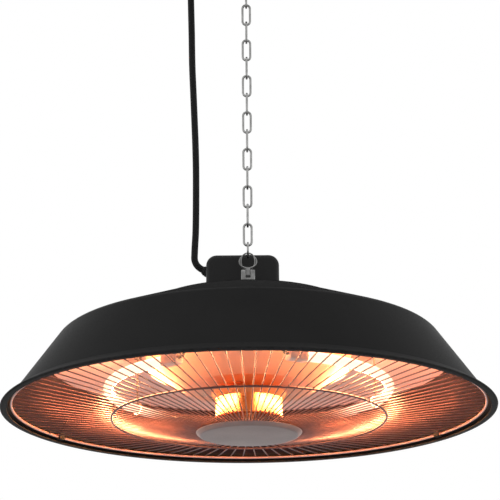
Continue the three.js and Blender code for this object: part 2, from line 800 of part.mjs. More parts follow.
function roundedBox(inset, bottom) {
  const half = housingWidth / 2 - inset;
  const deep = housingDepth / 2 - inset;
  const corner = Math.max(housingCorner - inset, gap);
  const brow = Math.max(housingBrow - inset, gap);
  const top = housingTop - inset;
  const plan = [
    ...arc(half - corner, deep - corner, corner, 0, 90, 3),
    ...arc(corner - half, deep - corner, corner, 90, 180, 3),
    ...arc(corner - half, corner - deep, corner, 180, 270, 3),
    ...arc(half - corner, corner - deep, corner, 270, 360, 3),
  ];
  const front = [
    [-half, bottom], [half, bottom],
    ...arc(half - brow, top - brow, brow, 0, 90, 4),
    ...arc(brow - half, top - brow, brow, 90, 180, 4),
  ];
  const shape = new THREE.Shape(plan.map(([x, y]) => new THREE.Vector2(x, y)));
  const post = new THREE.ExtrudeGeometry(shape, { depth: top - bottom, bevelEnabled: false });
  const slab = prism(front, -housingDepth, housingDepth);
  const body = common(post.translate(0, 0, bottom), slab);
  return body.translate(housingCentre, housingFront + housingDepth / 2, 0);
}

const glandAxis = new THREE.Vector3(-Math.cos(glandAngle * deg), 0, Math.sin(glandAngle * deg));
const glandPoint = new THREE.Vector3(housingCentre - housingWidth / 2, glandDepth, housingBottom + glandRise);

// Puts a geometry made along +Z on the strain relief's axis, with z = 0 where it meets the wall
const onGland = (geometry) => geometry
  .rotateY((glandAngle - 90) * deg)
  .translate(glandPoint.x, glandPoint.y, glandPoint.z);

function terminalHousing() {
  const shell = cut(roundedBox(0, housingBottom), roundedBox(housingWall, housingBottom - overrun));
  const bosses = housingScrews.map(([x, y]) =>
    cylinder(housingBossRadius, housingBottom, housingTop - housingBrow, 12).translate(x, y, 0));
  const reach = housingScrewInset;
  const ribs = housingScrews.map(([x, y]) => {
    const side = Math.sign(x - housingCentre);
    const inner = x;
    const outer = x + side * (reach - housingWall / 2);
    return box(Math.min(inner, outer), Math.max(inner, outer), y - housingWall / 2,
      y + housingWall / 2, housingBottom, housingTop - 2 * housingBrow);
  });
  const bores = housingScrews.map(([x, y]) => cylinder(housingScrewRadius + gap,
    housingBottom - overrun, housingBottom + housingScrewLength, 10).translate(x, y, 0));
  const port = onGland(cylinder(glandRadius + gap, -glandIn, glandIn, 14));
  return cut(join(shell, ...bosses, ...ribs), ...bores, port);
}

function housingScrew([x, y]) {
  const seat = capUnder - gap;
  const tip = housingBottom + housingScrewLength - gap;
  const profile = [
    [0, seat - housingScrewHead], [housingScrewHeadRadius, seat - housingScrewHead],
    [housingScrewHeadRadius, seat], [housingScrewRadius, seat], [housingScrewRadius, tip], [0, tip],
  ];
  return turned(profile, 10).translate(x, y, 0);
}

function cordGland() {
  const profile = [
    [0, -glandIn], [glandRadius, -glandIn], [glandRadius, glandOut / 4], [glandTip, glandOut], [0, glandOut],
  ];
  return onGland(turned(profile, 14));
}

function terminalBlock() {
  const half = blockWidth / 2;
  const body = box(blockCentre - half, blockCentre + half, blockBack - blockDepth / 2,
    blockBack + blockDepth / 2, housingBottom, housingBottom + blockHeight);
  const top = housingBottom + blockHeight;
  const posts = leadSockets.map(([x, y]) =>
    cylinder(blockPost, top - blockPostHeight, top + blockPostHeight, 8).translate(x, y, 0));
  const bores = leadSockets.map(([x, y]) => cylinder(leadRadius + gap, housingBottom - overrun,
    housingBottom + leadSocket + gap, 8).translate(x, y, 0));
  return cut(join(body, ...posts), ...bores);
}

function thermalCutout() {
  const top = housingBottom + cutoutHeight;
  const profile = [
    [0, housingBottom], [cutoutRadius, housingBottom], [cutoutRadius, housingBottom + cutoutFlange],
    [cutoutRadius - cutoutFlange, housingBottom + cutoutFlange], [cutoutRadius - cutoutFlange, top],
    [cutoutPost, top], [cutoutPost, top + cutoutPost], [0, top + cutoutPost],
  ];
  return turned(profile, 16).translate(cutoutCentre, blockBack, 0);
}

// The cord's cores, from the strain relief's inner end down to the terminal block
function supplyLead() {
  const start = glandPoint.clone().addScaledVector(glandAxis, -glandIn - gap);
  const end = new THREE.Vector3(blockCentre, blockBack, housingBottom + blockHeight + gap);
  const points = [
    start,
    start.clone().addScaledVector(glandAxis, -coreDrop / 2),
    new THREE.Vector3((start.x + end.x) / 2, glandDepth, start.z - coreDrop / 2),
    new THREE.Vector3(end.x - coreRadius, (glandDepth + blockBack) / 2, end.z + coreDrop),
    end.clone().add(new THREE.Vector3(0, 0, coreDrop / 2)),
    end,
  ];
  return rodAlong(points, coreRadius, 8);
}

// Power cord
function cordAlong(points) {
  const curve = new THREE.CatmullRomCurve3(points, false, 'centripetal');
  const steps = Math.ceil(curve.getLength() / cordStep);
  return curve.getSpacedPoints(steps);
}

const seamPoint = (shift) => new THREE.Vector3(seam[0], seam[1], seam[2] + shift);

function powerCordLower() {
  const face = glandPoint.clone().addScaledVector(glandAxis, glandOut + gap);
  const start = face.clone().addScaledVector(glandAxis, cordLead);
  const middle = [
    start.x + cordBend * Math.sin(glandAngle * deg),
    start.z + cordBend * Math.cos(glandAngle * deg),
  ];
  const bend = arc(middle[0], middle[1], cordBend, 270 - glandAngle, 180, 5)
    .map(([x, z]) => new THREE.Vector3(x, glandDepth, z));
  const run = [
    bend[bend.length - 1],
    ...lowerRoute.map((point) => new THREE.Vector3(...point)),
    seamPoint(-gap / 2),
  ];
  return rodAlong([face, ...bend.slice(0, -1), ...cordAlong(run)], cordRadius, cordSides);
}

function powerCordUpper() {
  const end = new THREE.Vector3(cordTop[0], cordTop[1], ceilingHeight + gripFoot - gap);
  const points = [seamPoint(gap / 2), ...upperRoute.map((point) => new THREE.Vector3(...point)), end];
  return rodAlong(cordAlong(points), cordRadius, cordSides);
}

// Scene
const root = new THREE.Group();
const below = new THREE.Group();
below.position.z = -ceilingHeight;
root.add(below);

function add(group, name, geometry, material) {
  const mesh = new THREE.Mesh(toGeometry(toSolid(geometry)), material.clone());
  mesh.name = name;
  group.add(mesh);
}

add(root, 'ceiling_plate', ceilingPlate(), charcoal);
add(root, 'ceiling_hook', ceilingHook(), zinc);
add(root, 'ceiling_hook_nut', ceilingHookNut(), zinc);
add(root, 'ceiling_cord_grip', ceilingCordGrip(), blackPlastic);

for (let i = 0; i < linkCount; i += 1) {
  const name = `chain_link_${String(i + 1).padStart(2, '0')}`;
  add(below, name, chainLink(firstLink + i * linkPitch, i % 2 === 1), zinc);
}
add(below, 'connecting_ring', connectingRing(), zinc);
add(below, 'hanger_eye', hangerEye(), zinc);

add(below, 'hanger_clevis', hangerClevis(), zinc);
add(below, 'hanger_pin', hangerPin(), zinc);
const hangerNutTop = capUnder - gap;
const reflectorNutTop = columnFoot - gap;
add(below, 'hanger_nut', hexNut(nutAcross, rodRadius + gap, hangerNutTop - hangerNut, hangerNutTop), zinc);
add(below, 'reflector_nut',
  hexNut(nutAcross, rodRadius + gap, reflectorNutTop - reflectorNut, reflectorNutTop), zinc);

add(below, 'shade_shell', shadeShell(), charcoal);
add(below, 'top_cap', topCap(), charcoal);
capScrewAngles.forEach((angle, i) => add(below, `cap_screw_${i + 1}`, capScrew(angle), charcoal));

add(below, 'terminal_housing', terminalHousing(), blackPlastic);
add(below, 'housing_screw_left', housingScrew(housingScrews[0]), zinc);
add(below, 'housing_screw_right', housingScrew(housingScrews[1]), zinc);
add(below, 'cord_gland', cordGland(), blackPlastic);
add(below, 'terminal_block', terminalBlock(), ceramic);
add(below, 'thermal_cutout', thermalCutout(), insulation);
add(below, 'supply_lead', supplyLead(), insulation);
add(below, 'power_cord_lower', powerCordLower(), textile);
add(below, 'power_cord_upper', powerCordUpper(), textile);

add(below, 'reflector', reflector(), aluminium);
spacerAngles.forEach((angle, i) =>
  add(below, `reflector_spacer_${i + 1}`, reflectorSpacer(angle), ceramic));

add(below, 'heating_tube', heatingTube(), quartz);
add(below, 'heating_filament', heatingFilament(), tungsten);
const sides = ['right', 'left'];
sides.forEach((side, i) => {
  add(below, `tube_end_${side}`, tubeEnd(tubeEnds[i]), ceramic);
  add(below, `end_bracket_${side}`, endBracket(tubeEnds[i]), zinc);
  add(below, `tube_clip_${side}`, tubeClip(clipSteps[i]), zinc);
  add(below, `tube_lead_${side}`, tubeLead(tubeEnds[i], leadExits[i], leadSockets[i]), insulation);
});

add(below, 'grille', grille(), grilleSteel);
add(below, 'grille_disc', grilleDisc(), grilleSteel);
add(below, 'hub_screw', hubScrew(), zinc);
clipSlots.forEach((slot, i) => add(below, `grille_clip_${i + 1}`, grilleClip(slot), charcoal));

export default root;
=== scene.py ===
"""Visual model of a hanging patio heater.

A spun shade with a glowing ring tube under a W-shaped reflector, a radial wire grille below, a
terminal housing on top, and a chain and a braided cord that run up to a ceiling plate.

Sizes are written in millimetres. The heater's own pieces are drawn with z = 0 at the shade's lowest
edge, and ceiling pieces with z = 0 at the ceiling; each piece is moved into the row frame, in
metres, when it is published.
"""

import logging
import math
from collections.abc import Sequence
from dataclasses import dataclass
from enum import Enum
from functools import cache

import bmesh
import bpy
from mathutils import Matrix, Vector


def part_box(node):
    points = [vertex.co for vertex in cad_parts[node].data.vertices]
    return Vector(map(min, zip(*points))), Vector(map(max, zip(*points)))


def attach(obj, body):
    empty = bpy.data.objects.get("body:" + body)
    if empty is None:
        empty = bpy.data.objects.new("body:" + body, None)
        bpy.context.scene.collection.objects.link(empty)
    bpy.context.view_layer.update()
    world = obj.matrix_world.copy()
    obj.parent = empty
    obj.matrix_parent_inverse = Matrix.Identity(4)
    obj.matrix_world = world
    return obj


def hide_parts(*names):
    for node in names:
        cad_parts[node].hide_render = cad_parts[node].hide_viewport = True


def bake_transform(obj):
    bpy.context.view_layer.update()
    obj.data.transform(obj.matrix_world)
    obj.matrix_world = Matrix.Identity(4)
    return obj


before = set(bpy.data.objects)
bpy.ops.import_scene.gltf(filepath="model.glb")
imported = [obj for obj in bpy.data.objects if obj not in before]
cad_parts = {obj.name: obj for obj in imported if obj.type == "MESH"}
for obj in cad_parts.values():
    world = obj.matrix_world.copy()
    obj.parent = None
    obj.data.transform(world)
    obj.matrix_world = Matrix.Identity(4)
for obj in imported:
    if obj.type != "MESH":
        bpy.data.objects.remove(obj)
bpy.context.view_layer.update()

log = logging.getLogger("heater")

CEILING = 540.1
METRE = 1000.0
FULL_TURN = 2.0 * math.pi
GAP = 0.3
OVERRUN = 2.0
NEAR = 1e-4
FILLET_FACETS = 5

Point = tuple[float, float, float]
Socket = bpy.types.NodeSocket
Sockets = bpy.types.bpy_prop_collection
Feeds = dict[str | int, object]


class Body(Enum):
    """The three bodies that pieces ride on."""

    CEILING = "ceiling"
    CHAIN = "chain"
    HEATER = "heater"


class Side(Enum):
    """The two sides that nodes are named after."""

    LEFT = "left"
    RIGHT = "right"


@dataclass(frozen=True)
class Corner:
    """A corner of a turned profile.

    Attributes:
        radius: Distance from the axis.
        height: Height along the axis.
        fillet: Radius that rounds the corner, or 0 for a sharp one.
    """

    radius: float
    height: float
    fillet: float = 0.0


def polar(radius: float, degrees: float, height: float = 0.0) -> Vector:
    """Return the point at that radius, angle and height."""
    angle = math.radians(degrees)
    return Vector((radius * math.cos(angle), radius * math.sin(angle), height))


def facing(direction: Vector, place: Vector) -> Matrix:
    """Return the matrix that stands a piece drawn along +Z on a place, along a direction."""
    turn = Vector((0, 0, 1)).rotation_difference(direction).to_matrix().to_4x4()
    return Matrix.Translation(place) @ turn


def heights(node: str, floor: float = -CEILING) -> tuple[float, float]:
    """Return a CAD node's lowest and highest z above the rim, or above another floor."""
    low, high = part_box(node)
    return low[2] * METRE - floor, high[2] * METRE - floor


# Mesh shop


def between(verts: Sequence[bmesh.types.BMVert]) -> list[bmesh.types.BMEdge]:
    """Return the edges that join these vertices."""
    edges = dict.fromkeys(e for v in verts for e in v.link_edges)
    return [e for e in edges if all(v in verts for v in e.verts)]


def keeps(edge: bmesh.types.BMEdge, axis: int) -> bool:
    """Return whether an edge stays at one coordinate on an axis."""
    return abs(edge.verts[0].co[axis] - edge.verts[1].co[axis]) < NEAR


class Stock:
    """A mesh under construction, shaped with bmesh operators."""

    def __init__(self) -> None:
        """Start with an empty mesh."""
        self.bm = bmesh.new()

    def bevel(self, geom: list, offset: float, segments: int, affect: str = "EDGES",
              clamp: bool = False) -> None:
        """Round off some edges or vertices."""
        bmesh.ops.bevel(self.bm, geom=geom, offset=offset, offset_type="OFFSET", segments=segments,
                        profile=0.5, affect=affect, material=-1, clamp_overlap=clamp)

    def profile(self, corners: Sequence[Corner], closed: bool) -> None:
        """Draw a wire profile in the XZ plane and round its corners.

        Args:
            corners: The profile's corners in order.
            closed: Whether the last corner joins the first.
        """
        count = len(corners)
        verts = [self.bm.verts.new((c.radius, 0.0, c.height)) for c in corners]
        for i in range(count if closed else count - 1):
            self.bm.edges.new((verts[i], verts[(i + 1) % count]))
        reach = [0.0] * count
        for i, corner in enumerate(corners):
            if corner.fillet > 0.0 and (closed or 0 < i < count - 1):
                here = verts[i].co
                back = (verts[i - 1].co - here).normalized()
                ahead = (verts[(i + 1) % count].co - here).normalized()
                reach[i] = corner.fillet * math.tan((math.pi - back.angle(ahead)) / 2.0)
        for vert, offset in zip(verts, reach):
            if offset > 0.0:
                self.bevel([vert], offset, FILLET_FACETS, "VERTICES")

    def lathe(self, corners: Sequence[Corner], steps: int = 48, closed: bool = False) -> "Stock":
        """Spin a profile about Z.

        Args:
            corners: The profile, from axis to axis, or a closed one off the axis.
            steps: Number of facets round the axis.
            closed: Whether the profile is a closed outline.

        Returns:
            This stock.
        """
        bm = self.bm
        self.profile(corners, closed)
        bmesh.ops.spin(bm, geom=bm.verts[:] + bm.edges[:], cent=(0, 0, 0), axis=(0, 0, 1), angle=FULL_TURN,
                       steps=steps, use_merge=True)
        bmesh.ops.remove_doubles(bm, verts=bm.verts[:], dist=NEAR)
        bmesh.ops.recalc_face_normals(bm, faces=bm.faces[:])
        return self

    def sheet(self, corners: Sequence[Corner], thickness: float, steps: int = 192) -> "Stock":
        """Spin an open profile and give it a wall on its lower or inner side.

        Args:
            corners: The profile of the sheet's outer face, from the middle outwards.
            thickness: Thickness of the sheet, negative to add it on the upper side.
            steps: Number of facets round the axis.

        Returns:
            This stock.
        """
        bm = self.lathe(corners, steps).bm
        inmost = min(bm.faces, key=lambda f: f.calc_center_median().xy.length)
        if (inmost.normal.z > 0.0) != (thickness > 0.0):
            bmesh.ops.reverse_faces(bm, faces=bm.faces[:])
        bmesh.ops.solidify(bm, geom=bm.faces[:], thickness=abs(thickness))
        return self

    def sweep(self, points: Sequence[Vector], radius: float, sides: int = 14,
              closed: bool = False) -> "Stock":
        """Pull a round section along a line, with its texture unrolled onto a UV map.

        Args:
            points: The centreline.
            radius: Radius of the section.
            sides: Number of sides of the section.
            closed: Whether the line joins up with its start.

        Returns:
            This stock.
        """
        bm, count = self.bm, len(points)
        turn = bm.verts.layers.float.new("turn")
        along = bm.verts.layers.float.new("along")
        directions = []
        for i, here in enumerate(points):
            last = points[i - 1] if closed or i else here
            following = points[(i + 1) % count] if closed or i < count - 1 else here
            directions.append(((here - last).normalized() + (following - here).normalized()).normalized())
        first = ring = bmesh.ops.create_circle(bm, cap_ends=False, segments=sides, radius=radius)["verts"]
        for k, vert in enumerate(ring):
            vert[turn] = k / sides
        bmesh.ops.transform(bm, matrix=facing(directions[0], points[0]), verts=ring)
        distance = 0.0
        for i in range(1, count):
            bend = directions[i - 1].rotation_difference(directions[i]).to_matrix().to_4x4()
            move = Matrix.Translation(points[i]) @ bend @ Matrix.Translation(-points[i - 1])
            grown = bmesh.ops.extrude_edge_only(bm, edges=between(ring))["geom"]
            ring = [g for g in grown if isinstance(g, bmesh.types.BMVert)]
            bmesh.ops.transform(bm, matrix=move, verts=ring)
            distance += (points[i] - points[i - 1]).length
            for vert in ring:
                vert[along] = distance
        if closed:
            bmesh.ops.bridge_loops(bm, edges=[e for e in bm.edges if e.is_boundary])
        else:
            for end in (first, ring):
                bmesh.ops.contextual_create(bm, geom=between(end))
        bmesh.ops.recalc_face_normals(bm, faces=bm.faces[:])
        uv = bm.loops.layers.uv.new("UVMap")
        for face in bm.faces:
            turns = [loop.vert[turn] for loop in face.loops]
            wraps = max(turns) - min(turns) > 0.5
            for loop, value in zip(face.loops, turns):
                share = value + 1.0 if wraps and value < 0.5 else value
                loop[uv].uv = (share, loop.vert[along] / (2.0 * radius))
        return self

    def block(self, low: Sequence[float], high: Sequence[float], rounding: float = 0.0,
              segments: int = 3) -> "Stock":
        """Add a box with rounded edges.

        Args:
            low: Lowest corner.
            high: Highest corner.
            rounding: Radius of its edges.
            segments: Facets across each rounded edge.

        Returns:
            This stock.
        """
        verts = bmesh.ops.create_cube(self.bm, size=1.0)["verts"]
        bmesh.ops.scale(self.bm, vec=Vector(high) - Vector(low), verts=verts)
        bmesh.ops.translate(self.bm, vec=(Vector(high) + Vector(low)) / 2.0, verts=verts)
        if rounding > 0.0:
            self.bevel(between(verts), rounding, segments)
        return self

    def around(self, copies: int, start: float) -> "Stock":
        """Repeat everything so far evenly about Z.

        Args:
            copies: Total number of copies.
            start: Angle of the first one, in degrees.

        Returns:
            This stock.
        """
        bm = self.bm
        self.place(Matrix.Rotation(math.radians(start), 4, "Z"))
        bmesh.ops.spin(bm, geom=bm.verts[:] + bm.edges[:] + bm.faces[:], cent=(0, 0, 0), axis=(0, 0, 1),
                       angle=FULL_TURN * (copies - 1) / copies, steps=copies - 1, use_duplicate=True)
        return self

    def place(self, matrix: Matrix) -> "Stock":
        """Move everything so far by a matrix."""
        bmesh.ops.transform(self.bm, matrix=matrix, verts=self.bm.verts[:])
        return self

    def shift(self, x: float, y: float, z: float) -> "Stock":
        """Move everything so far along the axes."""
        return self.place(Matrix.Translation((x, y, z)))

    def take(self, other: "Stock") -> "Stock":
        """Add another stock's mesh to this one.

        Args:
            other: The stock that is used up.

        Returns:
            This stock.
        """
        mesh = bpy.data.meshes.new("part")
        other.bm.to_mesh(mesh)
        other.bm.free()
        self.bm.from_mesh(mesh)
        bpy.data.meshes.remove(mesh)
        return self

    def as_object(self, name: str) -> bpy.types.Object:
        """Turn this stock into an object in the scene, in its own units.

        Args:
            name: Name of the object.

        Returns:
            The object.
        """
        mesh = bpy.data.meshes.new(name)
        self.bm.to_mesh(mesh)
        self.bm.free()
        thing = bpy.data.objects.new(name, mesh)
        bpy.context.scene.collection.objects.link(thing)
        return thing

    def drill(self, *cutters: "Stock") -> "Stock":
        """Cut other closed meshes out of this one.

        Args:
            *cutters: The stocks that are cut out and used up.

        Returns:
            This stock.
        """
        body = self.as_object("body")
        for cutter in cutters:
            tool = cutter.as_object("cutter")
            cutting = body.modifiers.new("cut", "BOOLEAN")
            cutting.operation, cutting.solver, cutting.object = "DIFFERENCE", "EXACT", tool
            bpy.context.view_layer.update()
            cut = body.evaluated_get(bpy.context.evaluated_depsgraph_get())
            baked = bpy.data.meshes.new_from_object(cut)
            body.modifiers.clear()
            body.data = baked
            bpy.data.objects.remove(tool)
        self.bm = bmesh.new()
        self.bm.from_mesh(body.data)
        bpy.data.objects.remove(body)
        return self


def bar(radius: float, low: float, high: float, steps: int = 24, fillet: float = 0.0) -> Stock:
    """Turn a round bar along Z.

    Args:
        radius: Its radius.
        low: Height of its lower end.
        high: Height of its upper end.
        steps: Number of facets round it.
        fillet: Radius that rounds its ends.

    Returns:
        The bar.
    """
    return Stock().lathe([Corner(0, low), Corner(radius, low, fillet), Corner(radius, high, fillet),
                          Corner(0, high)], steps)


def hexagon_bar(corner: float, low: float, high: float) -> Stock:
    """Build a bar with six sides along Z.

    Args:
        corner: Distance from its axis to its corners.
        low: Height of its lower end.
        high: Height of its upper end.

    Returns:
        The bar.
    """
    stock = Stock()
    ring = bmesh.ops.create_circle(stock.bm, cap_ends=True, segments=6, radius=corner)["verts"]
    bmesh.ops.translate(stock.bm, vec=(0, 0, low), verts=ring)
    grown = bmesh.ops.extrude_face_region(stock.bm, geom=stock.bm.faces[:])["geom"]
    top = [g for g in grown if isinstance(g, bmesh.types.BMVert)]
    bmesh.ops.translate(stock.bm, vec=(0, 0, high - low), verts=top)
    bmesh.ops.recalc_face_normals(stock.bm, faces=stock.bm.faces[:])
    return stock


def nut(across: float, bore: float, low: float, high: float) -> Stock:
    """Build a hexagon nut.

    Args:
        across: Width across its flats.
        bore: Radius of its hole.
        low: Height of its lower face.
        high: Height of its upper face.

    Returns:
        The nut.
    """
    return hexagon_bar(across / math.sqrt(3.0), low, high).drill(bar(bore, low - OVERRUN, high + OVERRUN))


def button_screw(shank: float, head: float, height: float, length: float) -> Stock:
    """Build a button-head screw with a hexagon socket, seated at z = 0.

    Args:
        shank: Radius of the shank.
        head: Radius of the head.
        height: Height of the head.
        length: Length of the shank below the seat.

    Returns:
        The screw.
    """
    waist = height * 0.35
    body = Stock().lathe([
        Corner(0, -length), Corner(shank, -length, 0.2), Corner(shank, 0), Corner(head, 0),
        Corner(head, waist, height * 0.3), Corner(head * 0.62, height, head * 0.35), Corner(0, height)], 28)
    return body.drill(hexagon_bar(head * 0.42, waist, waist + height))


def thread(radius: float, bottom: float, top: float, pitch: float, facets: int = 14) -> Stock:
    """Roll a thread's ridge round a rod.

    Args:
        radius: Radius of the rod, which is just below the thread's crest.
        bottom: Height where the thread starts.
        top: Height where it ends.
        pitch: Rise of each turn.
        facets: Number of facets in each turn.

    Returns:
        The helical ridge.
    """
    stock = Stock()
    bm = stock.bm
    root, crest = radius - 0.5 * pitch, radius + 0.12 * pitch
    outline = ((root, bottom), (crest, bottom + 0.4 * pitch), (root, bottom + 0.8 * pitch))
    verts = [bm.verts.new((r, 0.0, z)) for r, z in outline]
    edges = [bm.edges.new(pair) for pair in zip(verts, verts[1:])]
    turns = (top - bottom - pitch) / pitch
    steps = max(8, round(turns * facets))
    bmesh.ops.spin(bm, geom=verts + edges, cent=(0, 0, 0), axis=(0, 0, 1), angle=FULL_TURN * turns,
                   dvec=(0, 0, pitch * turns / steps), steps=steps)
    if sum(f.normal.xy.dot(f.calc_center_median().xy) for f in bm.faces) < 0:
        bmesh.ops.reverse_faces(bm, faces=bm.faces[:])
    return stock


def publish(stock: Stock, name: str, finish: "Finish", *stands_for: str, body: Body | None = Body.HEATER,
            crease: float = 32.0) -> bpy.types.Object:
    """Make a piece from a stock: metres, row frame, finish, body and the nodes it stands for.

    Args:
        stock: The finished mesh, in millimetres.
        name: Name of the piece.
        finish: Its finish.
        *stands_for: The CAD nodes that it replaces.
        body: The body it rides on, or None to leave it on no body.
        crease: Edges that bend more than this many degrees stay sharp.

    Returns:
        The piece.
    """
    floor = 0.0 if body is Body.CEILING else -CEILING
    stock.place(Matrix.Translation((0.0, 0.0, floor / METRE)) @ Matrix.Scale(1.0 / METRE, 4))
    piece = stock.as_object(name)
    mesh = piece.data
    for polygon in mesh.polygons:
        polygon.use_smooth = True
    mesh.set_sharp_from_angle(angle=math.radians(crease))
    mesh.materials.append(finish.material())
    if stands_for:
        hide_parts(*stands_for)
    if body is not None:
        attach(piece, body.value)
    log.info("%s: %d faces, stands for %s", name, len(mesh.polygons), ", ".join(stands_for) or "itself")
    return piece


def dress(finish: "Finish", *nodes: str) -> None:
    """Give carried-over CAD nodes their finish.

    Args:
        finish: The finish.
        *nodes: Names of the nodes.
    """
    for node in nodes:
        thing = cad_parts[node]
        thing.data.materials.clear()
        thing.data.materials.append(finish.material())
        log.info("%s: dressed", node)


# Finishes


class Graph:
    """Shorthand for building a node tree."""

    def __init__(self, tree: bpy.types.NodeTree) -> None:
        """Keep the tree that nodes go into."""
        self.tree = tree

    def feed(self, node: bpy.types.Node, inputs: Feeds) -> None:
        """Fill a node's inputs.

        Args:
            node: The node.
            inputs: Values or output sockets, by the input's name or number.
        """
        for key, value in inputs.items():
            if isinstance(value, Socket):
                self.tree.links.new(value, node.inputs[key])
            else:
                node.inputs[key].default_value = value

    def add(self, kind: str, inputs: Feeds | None = None, **settings: object) -> Sockets:
        """Add a node.

        Args:
            kind: Node type.
            inputs: Values or output sockets for its inputs, by name or number.
            **settings: Attributes of the node.

        Returns:
            The node's outputs.
        """
        node = self.tree.nodes.new(kind)
        for key, value in settings.items():
            setattr(node, key, value)
        self.feed(node, inputs or {})
        return node.outputs

    def math(self, operation: str, first: object, second: object = 0.0, clamp: bool = False) -> Socket:
        """Add a Math node and return its output."""
        return self.add("ShaderNodeMath", {0: first, 1: second}, operation=operation, use_clamp=clamp)[0]

    def times(self, first: object, second: object) -> Socket:
        """Multiply two values."""
        return self.math("MULTIPLY", first, second)

    def flat_product(self, first: Sockets, second: Sockets) -> Socket:
        """Return the dot product of two split vectors, without their Z."""
        return self.math("ADD", self.times(first[0], second[0]), self.times(first[1], second[1]))

    def split(self, vector: object) -> Sockets:
        """Return a vector's X, Y and Z."""
        return self.add("ShaderNodeSeparateXYZ", {0: vector})

    def span(self, value: object, low: float, high: float, to_low: float = 0.0,
             to_high: float = 1.0) -> Socket:
        """Add a Map Range node and return its output."""
        return self.add("ShaderNodeMapRange", {"Value": value, "From Min": low, "From Max": high,
                                               "To Min": to_low, "To Max": to_high})["Result"]

    def swing(self, mask: object, low: float, high: float) -> Socket:
        """Spread a mask of 0 to 1 over another range."""
        return self.span(mask, 0.0, 1.0, low, high)

    def mix(self, share: object, first: object, second: object) -> Socket:
        """Mix two colours, each a socket or three numbers."""
        first, second = ((*c, 1.0) if isinstance(c, tuple) else c for c in (first, second))
        return self.add("ShaderNodeMix", {0: share, 6: first, 7: second}, data_type="RGBA")[2]

    def noise(self, where: object, scale: object, detail: float, roughness: float = 0.5) -> Socket:
        """Add a noise texture and return its value."""
        return self.add("ShaderNodeTexNoise", {"Vector": where, "Scale": scale, "Detail": detail,
                                               "Roughness": roughness})[0]

    def effect(self, tree: bpy.types.NodeTree, where: object, **inputs: float) -> Sockets:
        """Place a node group with its own values and return its outputs."""
        return self.add("ShaderNodeGroup", {"Vector": where, **inputs}, node_tree=tree)

    def bump(self, height: object, strength: float, depth: float) -> Socket:
        """Return a normal that is bumped by a height, with a depth in metres."""
        return self.add("ShaderNodeBump", {"Strength": strength, "Distance": depth, "Height": height})[0]


def new_group(name: str, inputs: dict[str, float], *outputs: str) -> tuple[Graph, Sockets]:
    """Create an empty node group with a vector input, float inputs and float outputs.

    Args:
        name: Name of the group.
        inputs: Its float inputs and their defaults.
        *outputs: Names of its float outputs.

    Returns:
        A graph to fill the group with, and the sockets that bring its inputs.
    """
    tree = bpy.data.node_groups.new(name, "ShaderNodeTree")
    tree.interface.new_socket("Vector", in_out="INPUT", socket_type="NodeSocketVector")
    for key, value in inputs.items():
        socket = tree.interface.new_socket(key, in_out="INPUT", socket_type="NodeSocketFloat")
        socket.default_value = value
    for key in outputs:
        tree.interface.new_socket(key, in_out="OUTPUT", socket_type="NodeSocketFloat")
    g = Graph(tree)
    return g, g.add("NodeGroupInput")


